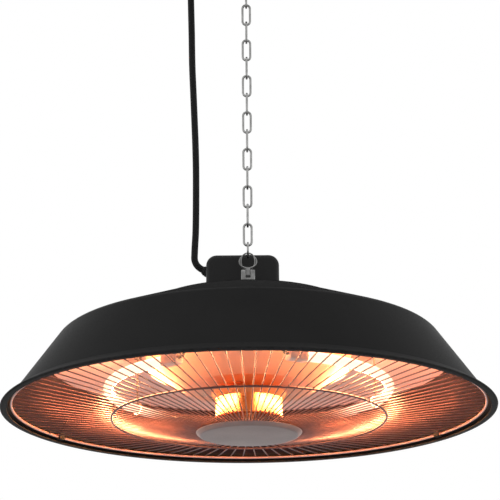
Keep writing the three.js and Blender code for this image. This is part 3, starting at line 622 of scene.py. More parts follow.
class Effects:
    """Node groups that several finishes share, each built once."""

    @staticmethod
    @cache
    def grain() -> bpy.types.NodeTree:
        """Build fine texture and slow mottling.

        Returns:
            A group with outputs Height, Speckle and Cloud.
        """
        g, start = new_group("grain", {"Scale": 900.0, "Clouds": 14.0}, "Height", "Speckle", "Cloud")
        where, scale = start["Vector"], start["Scale"]
        fine = g.noise(where, scale, 4.0, 0.6)
        cells = g.add("ShaderNodeTexVoronoi", {"Vector": where, "Scale": scale})["Distance"]
        cloud = g.noise(where, start["Clouds"], 3.0)
        g.add("NodeGroupOutput", {"Height": g.math("ADD", g.times(fine, 0.7), g.times(cells, 0.3)),
                                  "Speckle": g.span(fine, 0.35, 0.65), "Cloud": g.span(cloud, 0.35, 0.65)})
        return g.tree

    @staticmethod
    @cache
    def turning() -> bpy.types.NodeTree:
        """Build marks that run round the Z axis, as on spun or drawn sheet.

        Returns:
            A group with outputs Height and Streak.
        """
        g, start = new_group("turning", {"Pitch": 1600.0, "Broad": 90.0}, "Height", "Streak")
        parts = g.split(start["Vector"])
        radius = g.math("SQRT", g.flat_product(parts, parts))
        ring = g.add("ShaderNodeCombineXYZ", {0: radius, 1: g.times(parts[0], 0.004), 2: parts[2]})[0]
        broad = g.noise(ring, start["Broad"], 2.0)
        g.add("NodeGroupOutput", {"Height": g.noise(ring, start["Pitch"], 2.0),
                                  "Streak": g.span(broad, 0.35, 0.65)})
        return g.tree

    @staticmethod
    @cache
    def wear() -> bpy.types.NodeTree:
        """Build rubbed edges, broken up by noise.

        Returns:
            A group with output Edge.
        """
        g, start = new_group("wear", {"Spread": 0.06, "Breakup": 220.0}, "Edge")
        sharp = g.math("SUBTRACT", g.add("ShaderNodeNewGeometry")["Pointiness"], 0.5)
        edge = g.math("DIVIDE", sharp, start["Spread"], clamp=True)
        patches = g.span(g.noise(start["Vector"], start["Breakup"], 4.0), 0.4, 0.6)
        g.add("NodeGroupOutput", {"Edge": g.times(edge, patches)})
        return g.tree

    @staticmethod
    @cache
    def dust() -> bpy.types.NodeTree:
        """Build dust that settles on faces that look up.

        Returns:
            A group with output Dust.
        """
        g, start = new_group("dust", {"Patch": 30.0}, "Dust")
        up = g.split(g.add("ShaderNodeNewGeometry")["Normal"])[2]
        patches = g.span(g.noise(start["Vector"], start["Patch"], 6.0), 0.35, 0.75)
        g.add("NodeGroupOutput", {"Dust": g.times(g.span(up, 0.5, 1.0), patches)})
        return g.tree

    @staticmethod
    @cache
    def inside() -> bpy.types.NodeTree:
        """Build a mask of the faces above a level that look towards the Z axis.

        Returns:
            A group with output Inside.
        """
        g, start = new_group("inside", {"Softness": 0.02, "Above": -0.5311}, "Inside")
        place = g.split(start["Vector"])
        outward = g.flat_product(place, g.split(g.add("ShaderNodeNewGeometry")["Normal"]))
        share = g.math("DIVIDE", g.math("SUBTRACT", 0.0, outward), start["Softness"], clamp=True)
        above = g.math("GREATER_THAN", place[2], start["Above"])
        g.add("NodeGroupOutput", {"Inside": g.times(share, above)})
        return g.tree

    @staticmethod
    @cache
    def braid() -> bpy.types.NodeTree:
        """Build a tubular braid on a UV map that is one turn wide.

        Returns:
            A group with outputs Height, Yarn and Cross.
        """
        g, start = new_group("braid", {"Carriers": 8.0, "Lay": 2.4}, "Height", "Yarn", "Cross")
        parts = g.split(start["Vector"])
        turn, rise = g.times(parts[0], start["Carriers"]), g.times(parts[1], start["Lay"])
        ways = [g.math("ADD", turn, rise), g.math("SUBTRACT", turn, rise)]
        crowns = [g.math("ABSOLUTE", g.math("SINE", g.times(way, math.pi))) for way in ways]
        steps = g.math("ADD", g.math("FLOOR", ways[0]), g.math("FLOOR", ways[1]))
        parity = g.math("MODULO", g.math("ADD", steps, 400.0), 2.0)
        over = g.math("ADD", g.times(crowns[0], parity), g.times(crowns[1], g.math("SUBTRACT", 1.0, parity)))
        threads = g.math("ABSOLUTE", g.math("SINE", g.times(ways[0], 3.0 * math.pi)))
        g.add("NodeGroupOutput", {"Height": g.math("ADD", over, g.times(threads, 0.15)), "Yarn": threads,
                                  "Cross": parity})
        return g.tree


@dataclass(frozen=True)
class Finish:
    """A surface finish; subclasses say what feeds its shader.

    Attributes:
        name: Name of the material.
        slot: The record's material slot.
        color: Base colour, linear.
    """

    name: str
    slot: str
    color: Point

    def material(self) -> bpy.types.Material:
        """Make the material on first use.

        Returns:
            The material.
        """
        made = bpy.data.materials.get(self.name)
        if not made:
            made = bpy.data.materials.new(self.name)
            made.use_nodes = True
            made.diffuse_color = (*self.color, 1.0)
            g = Graph(made.node_tree)
            g.feed(made.node_tree.nodes["Principled BSDF"], self.inputs(g, g.add("ShaderNodeTexCoord")))
        return made

    def tone(self, factor: float) -> Point:
        """Return the base colour made lighter or darker."""
        return tuple(min(1.0, c * factor) for c in self.color)

    def inputs(self, g: Graph, place: Sockets) -> Feeds:
        """Build the finish's nodes.

        Args:
            g: The material's graph.
            place: Texture coordinates.

        Returns:
            What feeds the shader: sockets, and numbers that are the same all over.
        """
        raise NotImplementedError


@dataclass(frozen=True)
class Coat(Finish):
    """A coat with fine grain, slow mottling and rubbed edges.

    Attributes:
        grain: Scale of the grain.
        clouds: Scale of the mottling.
        shades: Factors of the base colour where the mottling is darkest and lightest.
        spread: Width of the rubbed edges.
        rub: How much the rubbed edges show.
        bright: Factor of the base colour where it is rubbed.
        roughness: Roughness where the mask is 0 and where it is 1.
        mask: The grain's output that changes the roughness.
        relief: Strength and depth, in metres, of the grain's bump.
        metal: Metallic.
        shine: Specular level.
    """

    grain: float = 1400.0
    clouds: float = 30.0
    shades: tuple[float, float] = (0.9, 1.1)
    spread: float = 0.15
    rub: float = 0.4
    bright: float = 1.6
    roughness: tuple[float, float] = (0.33, 0.45)
    mask: str = "Speckle"
    relief: tuple[float, float] = (0.12, 0.0002)
    metal: float = 0.0
    shine: float = 0.5

    def worn(self) -> Point:
        """Return the colour of the rubbed edges."""
        return self.tone(self.bright)

    def inputs(self, g: Graph, place: Sockets) -> Feeds:
        """Build the coat's nodes.

        Args:
            g: The material's graph.
            place: Texture coordinates.

        Returns:
            What feeds the shader.
        """
        grain = g.effect(Effects.grain(), place["Object"], Scale=self.grain, Clouds=self.clouds)
        edge = g.effect(Effects.wear(), place["Object"], Spread=self.spread)["Edge"]
        base = g.mix(grain["Cloud"], self.tone(self.shades[0]), self.tone(self.shades[1]))
        return {"Base Color": g.mix(g.times(edge, self.rub), base, self.worn()),
                "Roughness": g.swing(grain[self.mask], *self.roughness),
                "Metallic": self.metal, "Specular IOR Level": self.shine,
                "Normal": g.bump(grain["Height"], *self.relief)}


@dataclass(frozen=True)
class SatinPaint(Coat):
    """Powder coat with orange peel, faint rubbed edges and a little dust.

    Attributes:
        dusty: How much the dust shows.
        dust: Colour of the dust.
        lining: Colour of the faces that look inwards.
        matt: Z of the normal where upward faces start to turn matt, and where they are matt.
    """

    grain: float = 750.0
    clouds: float = 9.0
    shades: tuple[float, float] = (0.92, 1.08)
    spread: float = 0.10
    rub: float = 0.35
    bright: float = 3.0
    roughness: tuple[float, float] = (0.37, 0.47)
    relief: tuple[float, float] = (0.12, 0.0004)
    shine: float = 0.010
    dusty: float = 0.02
    dust: Point = (0.20, 0.19, 0.17)
    lining: Point = (0.0150, 0.0125, 0.0180)
    matt: tuple[float, float] = (0.75, 0.90)

    def inputs(self, g: Graph, place: Sockets) -> Feeds:
        """Build the coat's nodes, with dust, the lining and matt upward faces.

        Args:
            g: The material's graph.
            place: Texture coordinates.

        Returns:
            What feeds the shader.
        """
        fed = super().inputs(g, place)
        dust = g.effect(Effects.dust(), place["Object"], Patch=26.0)["Dust"]
        inside = g.effect(Effects.inside(), place["Object"])["Inside"]
        powdered = g.mix(g.times(dust, self.dusty), fed["Base Color"], self.dust)
        fed["Base Color"] = g.mix(inside, powdered, self.lining)
        upward = g.span(g.split(place["Normal"])[2], *self.matt)
        fed["Roughness"] = g.math("MAXIMUM", fed["Roughness"], upward)
        return fed


@dataclass(frozen=True)
class MouldedPlastic(Coat):
    """Moulded plastic with a fine spark-eroded grain."""

    grain: float = 1500.0
    clouds: float = 18.0
    shades: tuple[float, float] = (0.93, 1.07)
    spread: float = 0.12
    rub: float = 0.25
    bright: float = 2.2
    roughness: tuple[float, float] = (0.42, 0.54)
    relief: tuple[float, float] = (0.2, 0.0002)
    shine: float = 0.15


@dataclass(frozen=True)
class ZincPlate(Coat):
    """Bright zinc on steel, with a faint spangle and duller patches."""

    grain: float = 1800.0
    clouds: float = 160.0
    shades: tuple[float, float] = (0.80, 1.04)
    spread: float = 0.2
    rub: float = 0.3
    roughness: tuple[float, float] = (0.38, 0.22)
    mask: str = "Cloud"
    relief: tuple[float, float] = (0.15, 0.0002)
    metal: float = 1.0

    def worn(self) -> Point:
        """Return the colour of the bare metal on the rubbed edges."""
        return (0.80, 0.80, 0.79)


@dataclass(frozen=True)
class LacqueredSteel(Coat):
    """Metallic lacquer on steel wire and pressings."""

    metal: float = 0.75


@dataclass(frozen=True)
class SpunAluminium(Finish):
    """Polished reflector sheet with fine turning marks and streaks, its pinks and oranges painted glow light.

    Attributes:
        roughness: Middle roughness of the flank.
        column: That of the centre column.
        skirt: That of the outer slope.
        streak_glow_tint: Colour of the streaks, a painted warm glow.
        core: Colour of the centre column, a painted orange glow that warms the tube's reflections in it.
        flank: Colour of the inner slope, a painted warm glow that warms the tube's reflections in it.
        core_glow_ends: Distances from the axis, in metres, between which the core's painted glow fades.
        column_ends: Those between which the column's roughness fades.
        skirt_starts: Those between which the outer slope starts.
    """

    roughness: float = 0.46
    column: float = 0.27
    skirt: float = 0.34
    streak_glow_tint: Point = (0.86, 0.50, 0.38)
    core: Point = (0.66, 0.27, 0.11)
    flank: Point = (0.88, 0.50, 0.33)
    core_glow_ends: tuple[float, float] = (0.035, 0.060)
    column_ends: tuple[float, float] = (0.045, 0.075)
    skirt_starts: tuple[float, float] = (0.105, 0.135)

    def inputs(self, g: Graph, place: Sockets) -> Feeds:
        """Build the reflector's nodes.

        Args:
            g: The material's graph.
            place: Texture coordinates.

        Returns:
            What feeds the shader.
        """
        marks = g.effect(Effects.turning(), place["Object"], Pitch=1500.0, Broad=110.0)
        grain = g.effect(Effects.grain(), place["Object"], Scale=420.0, Clouds=11.0)
        parts = g.split(place["Object"])
        reach = g.math("SQRT", g.flat_product(parts, parts))
        outer = g.span(reach, *self.skirt_starts)
        # Painted glow light: the sheet's pink, the flank's orange and the streaks' warm colour stand for the
        # tube's light.
        sheet = g.mix(g.times(marks["Streak"], 0.5), g.mix(outer, self.flank, self.color), self.streak_glow_tint)
        inner = g.span(reach, *self.column_ends, self.column, self.roughness)
        polish = g.math("MINIMUM", inner, g.swing(outer, self.roughness, self.skirt))
        # Painted glow light: the column's orange turns the tube's reflections in it yellow.
        return {"Base Color": g.mix(g.span(reach, *self.core_glow_ends), self.core, sheet),
                "Roughness": g.math("ADD", polish, g.swing(grain["Cloud"], -0.02, 0.04)),
                "Metallic": 1.0, "Normal": g.bump(marks["Height"], 0.06, 0.0002)}


@dataclass(frozen=True)
class FiredCeramic(Finish):
    """Steatite with small dark specks."""

    def inputs(self, g: Graph, place: Sockets) -> Feeds:
        """Build the ceramic's nodes.

        Args:
            g: The material's graph.
            place: Texture coordinates.

        Returns:
            What feeds the shader.
        """
        grain = g.effect(Effects.grain(), place["Object"], Scale=500.0, Clouds=60.0)
        base = g.mix(grain["Cloud"], self.tone(0.88), self.tone(1.05))
        cells = g.add("ShaderNodeTexVoronoi", {"Vector": place["Object"], "Scale": 450.0})["Distance"]
        specks = g.times(g.math("LESS_THAN", cells, 0.16), 0.5)
        return {"Base Color": g.mix(specks, base, self.tone(0.4)),
                "Roughness": g.swing(grain["Speckle"], 0.45, 0.62),
                "Normal": g.bump(grain["Height"], 0.25, 0.0003)}


@dataclass(frozen=True)
class Glow(Finish):
    """A tube hot enough to shine, whose glow fades out along object Y over its far arc.

    Attributes:
        strength: Strength of its light.
        seen: What the camera sees of the glow, as a film would clip it.
        cool: Colour of its cooler patches.
        body: Colour of the tube where it isn't lit.
        arc: Object Y, in metres, where the glow has gone and where it starts to fade.
        falloff: Power by which it fades.
    """

    strength: float = 175.0
    seen: Point = (1.35, 1.12, 0.82)
    cool: Point = (1.0, 0.34, 0.12)
    body: Point = (0.16, 0.10, 0.09)
    arc: tuple[float, float] = (0.118, 0.084)
    falloff: float = 2.5

    def inputs(self, g: Graph, place: Sockets) -> Feeds:
        """Build the tube's nodes.

        Args:
            g: The material's graph.
            place: Texture coordinates.

        Returns:
            What feeds the shader.
        """
        grain = g.effect(Effects.grain(), place["Object"], Scale=300.0, Clouds=45.0)
        warm = g.mix(g.times(grain["Cloud"], 0.35), self.color, self.cool)
        lit = g.math("POWER", g.span(g.split(place["Object"])[1], *self.arc), self.falloff)
        direct = g.add("ShaderNodeLightPath")["Is Camera Ray"]
        hot = g.mix(direct, warm, tuple(c / self.strength for c in self.seen))
        return {"Emission Color": g.mix(lit, (0.0, 0.0, 0.0), hot), "Emission Strength": self.strength,
                "Base Color": g.mix(grain["Speckle"], self.body, tuple(c * 1.2 for c in self.body)),
                "Roughness": g.swing(grain["Speckle"], 0.12, 0.25),
                "Normal": g.bump(grain["Height"], 0.05, 0.0002)}


@dataclass(frozen=True)
class Sleeving(Finish):
    """Woven glass-silk sleeve."""

    def inputs(self, g: Graph, place: Sockets) -> Feeds:
        """Build the sleeve's nodes.

        Args:
            g: The material's graph.
            place: Texture coordinates.

        Returns:
            What feeds the shader.
        """
        grain = g.effect(Effects.grain(), place["Object"], Scale=1200.0, Clouds=80.0)
        return {"Base Color": g.mix(grain["Speckle"], self.tone(0.75), self.tone(1.1)),
                "Roughness": g.swing(grain["Cloud"], 0.7, 0.9),
                "Normal": g.bump(grain["Height"], 0.5, 0.0004)}


@dataclass(frozen=True)
class Braid(Finish):
    """Textile braid on the power cord, read from the cord's own UV map."""

    sheen: float = 0.05

    def inputs(self, g: Graph, place: Sockets) -> Feeds:
        """Build the braid's nodes.

        Args:
            g: The material's graph.
            place: Texture coordinates.

        Returns:
            What feeds the shader.
        """
        braid = g.effect(Effects.braid(), place["UV"], Carriers=8.0, Lay=2.4)
        grain = g.effect(Effects.grain(), place["Object"], Scale=1500.0, Clouds=40.0)
        yarn = g.mix(braid["Cross"], self.tone(0.75), self.tone(1.25))
        worn = g.mix(g.times(grain["Cloud"], 0.3), yarn, self.tone(1.6))
        # Painted shade: the braid's colour darkens where it sinks between its yarns.
        gap_shade = g.span(braid["Height"], 0.0, 0.5, 1.0, 0.0)
        return {"Base Color": g.mix(gap_shade, worn, self.tone(0.25)),
                "Roughness": g.swing(braid["Yarn"], 0.85, 0.62), "Specular IOR Level": 0.2,
                "Sheen Weight": self.sheen, "Sheen Roughness": 0.5,
                "Normal": g.bump(braid["Height"], 0.9, 0.0005)}


PAINT = SatinPaint("powder_coat", "charcoal_paint", (0.0190, 0.0190, 0.0192))
PLASTIC = MouldedPlastic("moulded_plastic", "black_plastic", (0.014, 0.014, 0.0142))
ZINC = ZincPlate("zinc", "zinc_steel", (0.31, 0.31, 0.305))
DULL_ZINC = ZincPlate("dull_zinc", "zinc_steel", (0.17, 0.17, 0.168))
# The reflector's pink base colour is painted glow light from the tube, on bare aluminium.
MIRROR = SpunAluminium("polished_reflector", "polished_aluminium", (0.98, 0.66, 0.60))
LACQUER = LacqueredSteel("disc_lacquer", "grille_steel", (0.28, 0.21, 0.20))
WIRE_LACQUER = LacqueredSteel("wire_lacquer", "grille_steel", (0.13, 0.080, 0.085))
# Painted glow light: the outer ring is the grille's own steel, lacquered lighter and pinker as if lit by the
# tube.
GLOW_LIT_RING_LACQUER = LacqueredSteel("ring_lacquer_painted_glow", "grille_steel", (0.60, 0.40, 0.37))
# Partly painted glow light: the steatite's cream is made rosy, as if warmed by the tube's light.
CERAMIC = FiredCeramic("steatite", "white_ceramic", (0.80, 0.64, 0.56))
QUARTZ = Glow("hot_quartz", "quartz", (1.0, 0.45, 0.18))
SLEEVE = Sleeving("glass_sleeve", "insulation", (0.50, 0.42, 0.30))
CORD = Braid("cord_braid", "braided_cord", (0.004, 0.004, 0.0042))


# Studio


@dataclass
class Studio:
    """Camera, lamps, world and floor, in metres."""

    camera_place: Point = (0.0, -1.6224, -0.9186)
    pitch: float = 18.734
    yaw: float = 0.077
    roll: float = -0.43
    lens: float = 120.36
    floor_level: float = -2.3
    floor_reach: float = 9.0
    sky: float = 0.55
    middle: Point = (0.0, 0.0, -0.45)

    def camera(self) -> None:
        """Set the camera where the photograph was taken from."""
        pitch, yaw, roll = (math.radians(a) for a in (self.pitch, self.yaw, self.roll))
        ahead = Vector((math.sin(yaw) * math.cos(pitch), math.cos(yaw) * math.cos(pitch), math.sin(pitch)))
        level = Vector((math.cos(yaw), -math.sin(yaw), 0.0))
        upright = level.cross(ahead)
        across = math.cos(roll) * level + math.sin(roll) * upright
        up = -math.sin(roll) * level + math.cos(roll) * upright
        turn = Matrix((across, up, -ahead)).transposed().to_4x4()
        data = bpy.data.cameras.new("camera")
        data.sensor_fit, data.sensor_width, data.lens = "HORIZONTAL", 36.0, self.lens
        data.clip_start, data.clip_end = 0.05, 50.0
        camera = bpy.data.objects.new("camera", data)
        camera.matrix_world = Matrix.Translation(self.camera_place) @ turn
        bpy.context.scene.collection.objects.link(camera)
        bpy.context.scene.camera = camera

    def lamp(self, name: str, place: Point, size: tuple[float, float], watts: float) -> None:
        """Hang a soft rectangular lamp that points at the middle of the heater.

        Args:
            name: Its name.
            place: Where it hangs.
            size: Width and height.
            watts: Its power.
        """
        data = bpy.data.lights.new(name, "AREA")
        data.shape, data.size, data.size_y, data.energy = "RECTANGLE", *size, watts
        lamp = bpy.data.objects.new(name, data)
        away = Vector(place) - Vector(self.middle)
        lamp.matrix_world = Matrix.Translation(place) @ away.to_track_quat("Z", "Y").to_matrix().to_4x4()
        bpy.context.scene.collection.objects.link(lamp)

    def world(self) -> None:
        """Build a plain world that lights softly and looks white to the camera and in gloss."""
        world = bpy.data.worlds.new("studio")
        world.use_nodes = True
        bpy.context.scene.world = world
        g = Graph(world.node_tree)
        path = g.add("ShaderNodeLightPath")
        gloss = g.math("MAXIMUM", path["Is Glossy Ray"], path["Is Transmission Ray"])
        seen = g.math("MAXIMUM", path["Is Camera Ray"], gloss)
        g.feed(world.node_tree.nodes["Background"], {"Color": (1.0, 1.0, 1.0, 1.0),
                                                     "Strength": g.swing(seen, self.sky, 1.0)})

    def floor(self) -> None:
        """Lay a pale floor well below the heater."""
        stock = Stock()
        bmesh.ops.create_grid(stock.bm, x_segments=1, y_segments=1, size=self.floor_reach)
        floor = stock.shift(0.0, 0.0, self.floor_level).as_object("floor")
        made = bpy.data.materials.new("pale_floor")
        made.use_nodes = True
        g = Graph(made.node_tree)
        grain = g.effect(Effects.grain(), g.add("ShaderNodeTexCoord")["Object"], Scale=60.0, Clouds=2.0)
        base = g.mix(grain["Cloud"], (0.80, 0.80, 0.80), (0.84, 0.84, 0.84))
        g.feed(made.node_tree.nodes["Principled BSDF"], {"Base Color": base, "Roughness": 0.8})
        floor.data.materials.append(made)

    def build(self) -> None:
        """Set up the whole studio."""
        bpy.context.scene.view_settings.view_transform = "Standard"
        self.camera()
        self.world()
        self.floor()
        self.lamp("left_box", (-2.2, -0.7, -0.2), (1.2, 1.6), 9.0)
        self.lamp("right_box", (2.2, -0.5, -0.2), (1.2, 1.6), 7.0)
        self.lamp("top_box", (0.0, -0.6, 1.6), (1.6, 1.2), 6.0)


# Cord


@dataclass
class PowerCord:
    """The braided cord in its two lengths, its strain relief and its ceiling grip."""

    radius: float = 3.55
    gland_at: Point = (-43.5, 44.0, 163.0)
    gland_angle: float = 28.0
    gland_out: float = 4.0
    gland_in: float = 13.0
    gland_radius: float = 5.6
    gland_tip: float = 4.6
    lead: float = 1.5
    bend: float = 14.3
    bend_steps: int = 9
    seam: Point = (-59.5, 27.0, 430.0)
    lower_route: tuple[Point, ...] = (
        (-55.8, 43.7, 190), (-55.0, 43, 205), (-54.7, 42, 225), (-54.6, 40.5, 250), (-54.7, 38.5, 276),
        (-55.2, 36, 300), (-56.3, 33.5, 330), (-57.5, 31, 360), (-58.8, 29, 392))
    upper_route: tuple[Point, ...] = ((-60.1, 25.3, 455), (-60.7, 23.3, 482))
    lower_bends: tuple[float, float] = (170.0, 300.0)
    upper_bends: tuple[float, float] = (432.0, 505.0)
    spacing: float = 4.0
    top: tuple[float, float] = (-61.0, 22.0)
    grip_foot: float = -30.3
    grip_top: float = -4.3

    def axis(self) -> Vector:
        """Return the direction in which the cord leaves the strain relief."""
        angle = math.radians(self.gland_angle)
        return Vector((-math.cos(angle), 0.0, math.sin(angle)))

    def smooth(self, points: Sequence[Vector], steps: int = 12) -> list[Vector]:
        """Run one smooth curve through points and space stations evenly along it.

        Args:
            points: The points that the curve passes through.
            steps: Places worked out on the curve between two points.

        Returns:
            The stations, first and last point included.
        """
        padded = [points[0] * 2 - points[1], *points, points[-1] * 2 - points[-2]]
        dense = []
        for i in range(1, len(padded) - 2):
            p0, p1, p2, p3 = padded[i - 1:i + 3]
            t1 = (p1 - p0).length ** 0.5
            t2 = t1 + (p2 - p1).length ** 0.5
            t3 = t2 + (p3 - p2).length ** 0.5
            for k in range(steps):
                t = t1 + (t2 - t1) * k / steps
                a1 = p0.lerp(p1, t / t1)
                a2 = p1.lerp(p2, (t - t1) / (t2 - t1))
                a3 = p2.lerp(p3, (t - t2) / (t3 - t2))
                b1 = a1.lerp(a2, t / t2)
                b2 = a2.lerp(a3, (t - t1) / (t3 - t1))
                dense.append(b1.lerp(b2, (t - t1) / (t2 - t1)))
        dense.append(points[-1])
        total = sum((b - a).length for a, b in zip(dense, dense[1:]))
        count = max(2, round(total / self.spacing))
        stations, walked, i = [dense[0]], 0.0, 0
        for step in range(1, count):
            target = total * step / count
            while walked + (dense[i + 1] - dense[i]).length < target:
                walked += (dense[i + 1] - dense[i]).length
                i += 1
            share = (target - walked) / (dense[i + 1] - dense[i]).length
            stations.append(dense[i].lerp(dense[i + 1], share))
        stations.append(dense[-1])
        return stations

    def lower_line(self) -> list[Vector]:
        """Lay out the lower length, from the strain relief to the seam.

        Returns:
            Its centreline.
        """
        face = Vector(self.gland_at) + self.axis() * (self.gland_out + GAP)
        start = face + self.axis() * self.lead
        angle = math.radians(self.gland_angle)
        middle = start + Vector((math.sin(angle), 0.0, math.cos(angle))) * self.bend
        points = [face]
        for k in range(self.bend_steps + 1):
            turn = math.radians(270.0 - self.gland_angle - (90.0 - self.gland_angle) * k / self.bend_steps)
            points.append(middle + Vector((math.cos(turn), 0.0, math.sin(turn))) * self.bend)
        end = Vector(self.seam) - Vector((0, 0, GAP / 2))
        return points[:-1] + self.smooth([points[-1], *map(Vector, self.lower_route), end])

    def upper_line(self) -> list[Vector]:
        """Lay out the upper length, from the seam to the ceiling grip.

        Returns:
            Its centreline.
        """
        start = Vector(self.seam) + Vector((0, 0, GAP / 2))
        end = Vector((*self.top, CEILING + self.grip_foot - GAP))
        return self.smooth([start, *map(Vector, self.upper_route), end])

    def length_of_cord(self, name: str, node: str, line: list[Vector]) -> None:
        """Args:
            name: Name of the piece.
            node: CAD node that it stands for.
            line: Its centreline in millimetres, z from the rim.
        """
        piece = publish(Stock().sweep(line, self.radius, 20), name, CORD, node, body=None, crease=60.0)
        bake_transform(piece)

    def relief(self) -> None:
        """Build the strain relief in the housing's side."""
        tip, foot, out = self.gland_tip, self.gland_radius, self.gland_out
        stock = Stock().lathe([
            Corner(0, -self.gland_in), Corner(foot, -self.gland_in, 0.5), Corner(foot, 0.4, 0.5),
            Corner(foot - 0.6, 0.7), Corner(foot - 0.6, 1.3), Corner(foot - 0.2, 1.6, 0.2),
            Corner(tip + 0.3, 2.6), Corner(tip - 0.3, 2.8), Corner(tip, out - 0.5, 0.3),
            Corner(tip - 0.4, out, 0.2), Corner(0, out)], 32)
        stock.place(facing(self.axis(), Vector(self.gland_at)))
        publish(stock, "strain_relief", PLASTIC, "cord_gland")

    def grip(self) -> None:
        """Build the cord grip under the ceiling plate."""
        foot, top = self.grip_foot, self.grip_top
        stock = Stock().lathe([
            Corner(0, foot), Corner(4.4, foot, 0.4), Corner(5.0, foot + 1.2, 0.4),
            Corner(7.5, foot + 13, 1.5), Corner(7.5, top - 8), Corner(7.1, top - 7.7),
            Corner(7.1, top - 6.9), Corner(7.5, top - 6.6), Corner(7.5, top - 3, 0.6),
            Corner(11, top - 3, 0.8), Corner(11, top, 0.3), Corner(0, top)], 36)
        publish(stock.shift(*self.top, 0.0), "cord_grip", PLASTIC, "ceiling_cord_grip", body=Body.CEILING)

    def build(self) -> None:
        """Build the cord and both its ends."""
        self.length_of_cord("cord_lower", "power_cord_lower", self.lower_line())
        self.length_of_cord("cord_upper", "power_cord_upper", self.upper_line())
        self.relief()
        self.grip()


# Ceiling fitting


@dataclass
class CeilingFitting:
    """The round plate, its hook and the hook's lock nut."""

    radius: float = 80.0
    thickness: float = 4.0
    boss_radius: float = 10.0
    boss: float = 10.0
    screw_reach: float = 55.0
    screw_radius: float = 2.6
    sink_radius: float = 5.2
    sink_depth: float = 2.6
    cable_at: tuple[float, float] = PowerCord.top
    cable_radius: float = 3.5
    bore: float = 2.3
    nut_across: float = 7.0
    hook_top: float = -2.3
    hook_wire: float = 4.0
    hook_radius: float = 8.0
    hook_shank: float = 21.5
    hook_steps: int = 28
    hook_pitch: float = 0.8

    def plate(self) -> None:
        """Build the plate with its countersunk holes."""
        t, r, b = self.thickness, self.radius, self.boss_radius
        foot = -t - self.boss
        plate = Stock().lathe([
            Corner(0, 0), Corner(r, 0, 0.2), Corner(r, -t, 1.4), Corner(b + 1.5, -t, 1.2),
            Corner(b, -t - 1.5, 0.6), Corner(b, foot, 1.0), Corner(0, foot)], 96)
        holes = []
        for side in (1, -1):
            hole = Stock().lathe([
                Corner(0, -t - OVERRUN), Corner(self.sink_radius, -t - OVERRUN),
                Corner(self.sink_radius, -t + 0.2), Corner(self.screw_radius, -t + self.sink_depth),
                Corner(self.screw_radius, OVERRUN), Corner(0, OVERRUN)], 32)
            holes.append(hole.shift(0, side * self.screw_reach, 0))
        holes.append(bar(self.cable_radius, -t - OVERRUN, OVERRUN).shift(*self.cable_at, 0))
        holes.append(bar(self.bore, foot - OVERRUN, -OVERRUN))
        publish(plate.drill(*holes), "ceiling_rose", PAINT, "ceiling_plate", body=Body.CEILING)

    def hook(self) -> None:
        """Build the hook with rolled thread on its shank."""
        radius = self.hook_radius
        middle = -self.thickness - self.boss - self.hook_shank - radius
        drop = -self.thickness - self.boss - self.hook_shank / 2
        points = [Vector((0, 0, self.hook_top)), Vector((0, 0, drop)),
                  Vector((0, -radius / 8, (2 * drop + middle) / 3)),
                  Vector((0, -radius / 2, middle + radius))]
        for k in range(self.hook_steps + 1):
            turn = math.radians(150.0 + 250.0 * k / self.hook_steps)
            points.append(Vector((0, radius * math.cos(turn), middle + radius * math.sin(turn))))
        stock = Stock().sweep(points, self.hook_wire / 2, 16)
        stock.take(thread(self.hook_wire / 2, drop + 3.0, self.hook_top - 0.1, self.hook_pitch))
        publish(stock, "hook", ZINC, "ceiling_hook", body=Body.CEILING)

    def build(self) -> None:
        """Build the fitting."""
        self.plate()
        self.hook()
        lock_nut = nut(self.nut_across, self.bore, *heights("ceiling_hook_nut", 0.0))
        publish(lock_nut, "hook_lock_nut", ZINC, "ceiling_hook_nut", body=Body.CEILING)


# Chain and hanger


@dataclass
class Chain:
    """Welded links and the round ring at their foot."""

    count: int = 15
    wire: float = 2.4
    inside: float = 21.16
    width: float = 10.4
    first: float = 188.28
    pitch: float = 20.86
    bend_steps: int = 10
    ring_height: float = 171.75
    ring_radius: float = 7.35
    ring_wire: float = 2.2
    ring_steps: int = 40

    def link(self, number: int) -> None:
        """Build one link, with the weld's bead on one side.

        Args:
            number: Its place in the chain, from 0 at the foot.
        """
        bend = (self.width - self.wire) / 2
        straight = (self.inside + self.wire) / 2 - bend
        points = []
        for centre, start in ((straight, 0.0), (-straight, 180.0)):
            for k in range(self.bend_steps + 1):
                turn = math.radians(start + 180.0 * k / self.bend_steps)
                points.append(Vector((bend * math.cos(turn), 0.0, centre + bend * math.sin(turn))))
        bead = Stock()
        bmesh.ops.create_uvsphere(bead.bm, u_segments=14, v_segments=8, radius=self.wire / 2)
        bead.place(Matrix.Translation((bend, 0.0, 0.0)) @ Matrix.Diagonal((1.0, 1.12, 0.75, 1.0)))
        stock = Stock().sweep(points, self.wire / 2, closed=True).take(bead)
        if number % 2:
            stock.place(Matrix.Rotation(math.radians(90.0), 4, "Z"))
        stock.shift(0.0, 0.0, self.first + self.pitch * number)
        publish(stock, f"link_{number + 1:02d}", ZINC, f"chain_link_{number + 1:02d}", body=Body.CHAIN)

    def ring(self) -> None:
        """Build the round ring between the eye and the chain."""
        turns = (FULL_TURN * k / self.ring_steps for k in range(self.ring_steps))
        points = [Vector((0.0, math.cos(a), math.sin(a))) * self.ring_radius for a in turns]
        stock = Stock().sweep(points, self.ring_wire / 2, closed=True).shift(0.0, 0.0, self.ring_height)
        publish(stock, "jump_ring", ZINC, "connecting_ring", body=Body.CHAIN)

    def build(self) -> None:
        """Build the chain."""
        for number in range(self.count):
            self.link(number)
        self.ring()


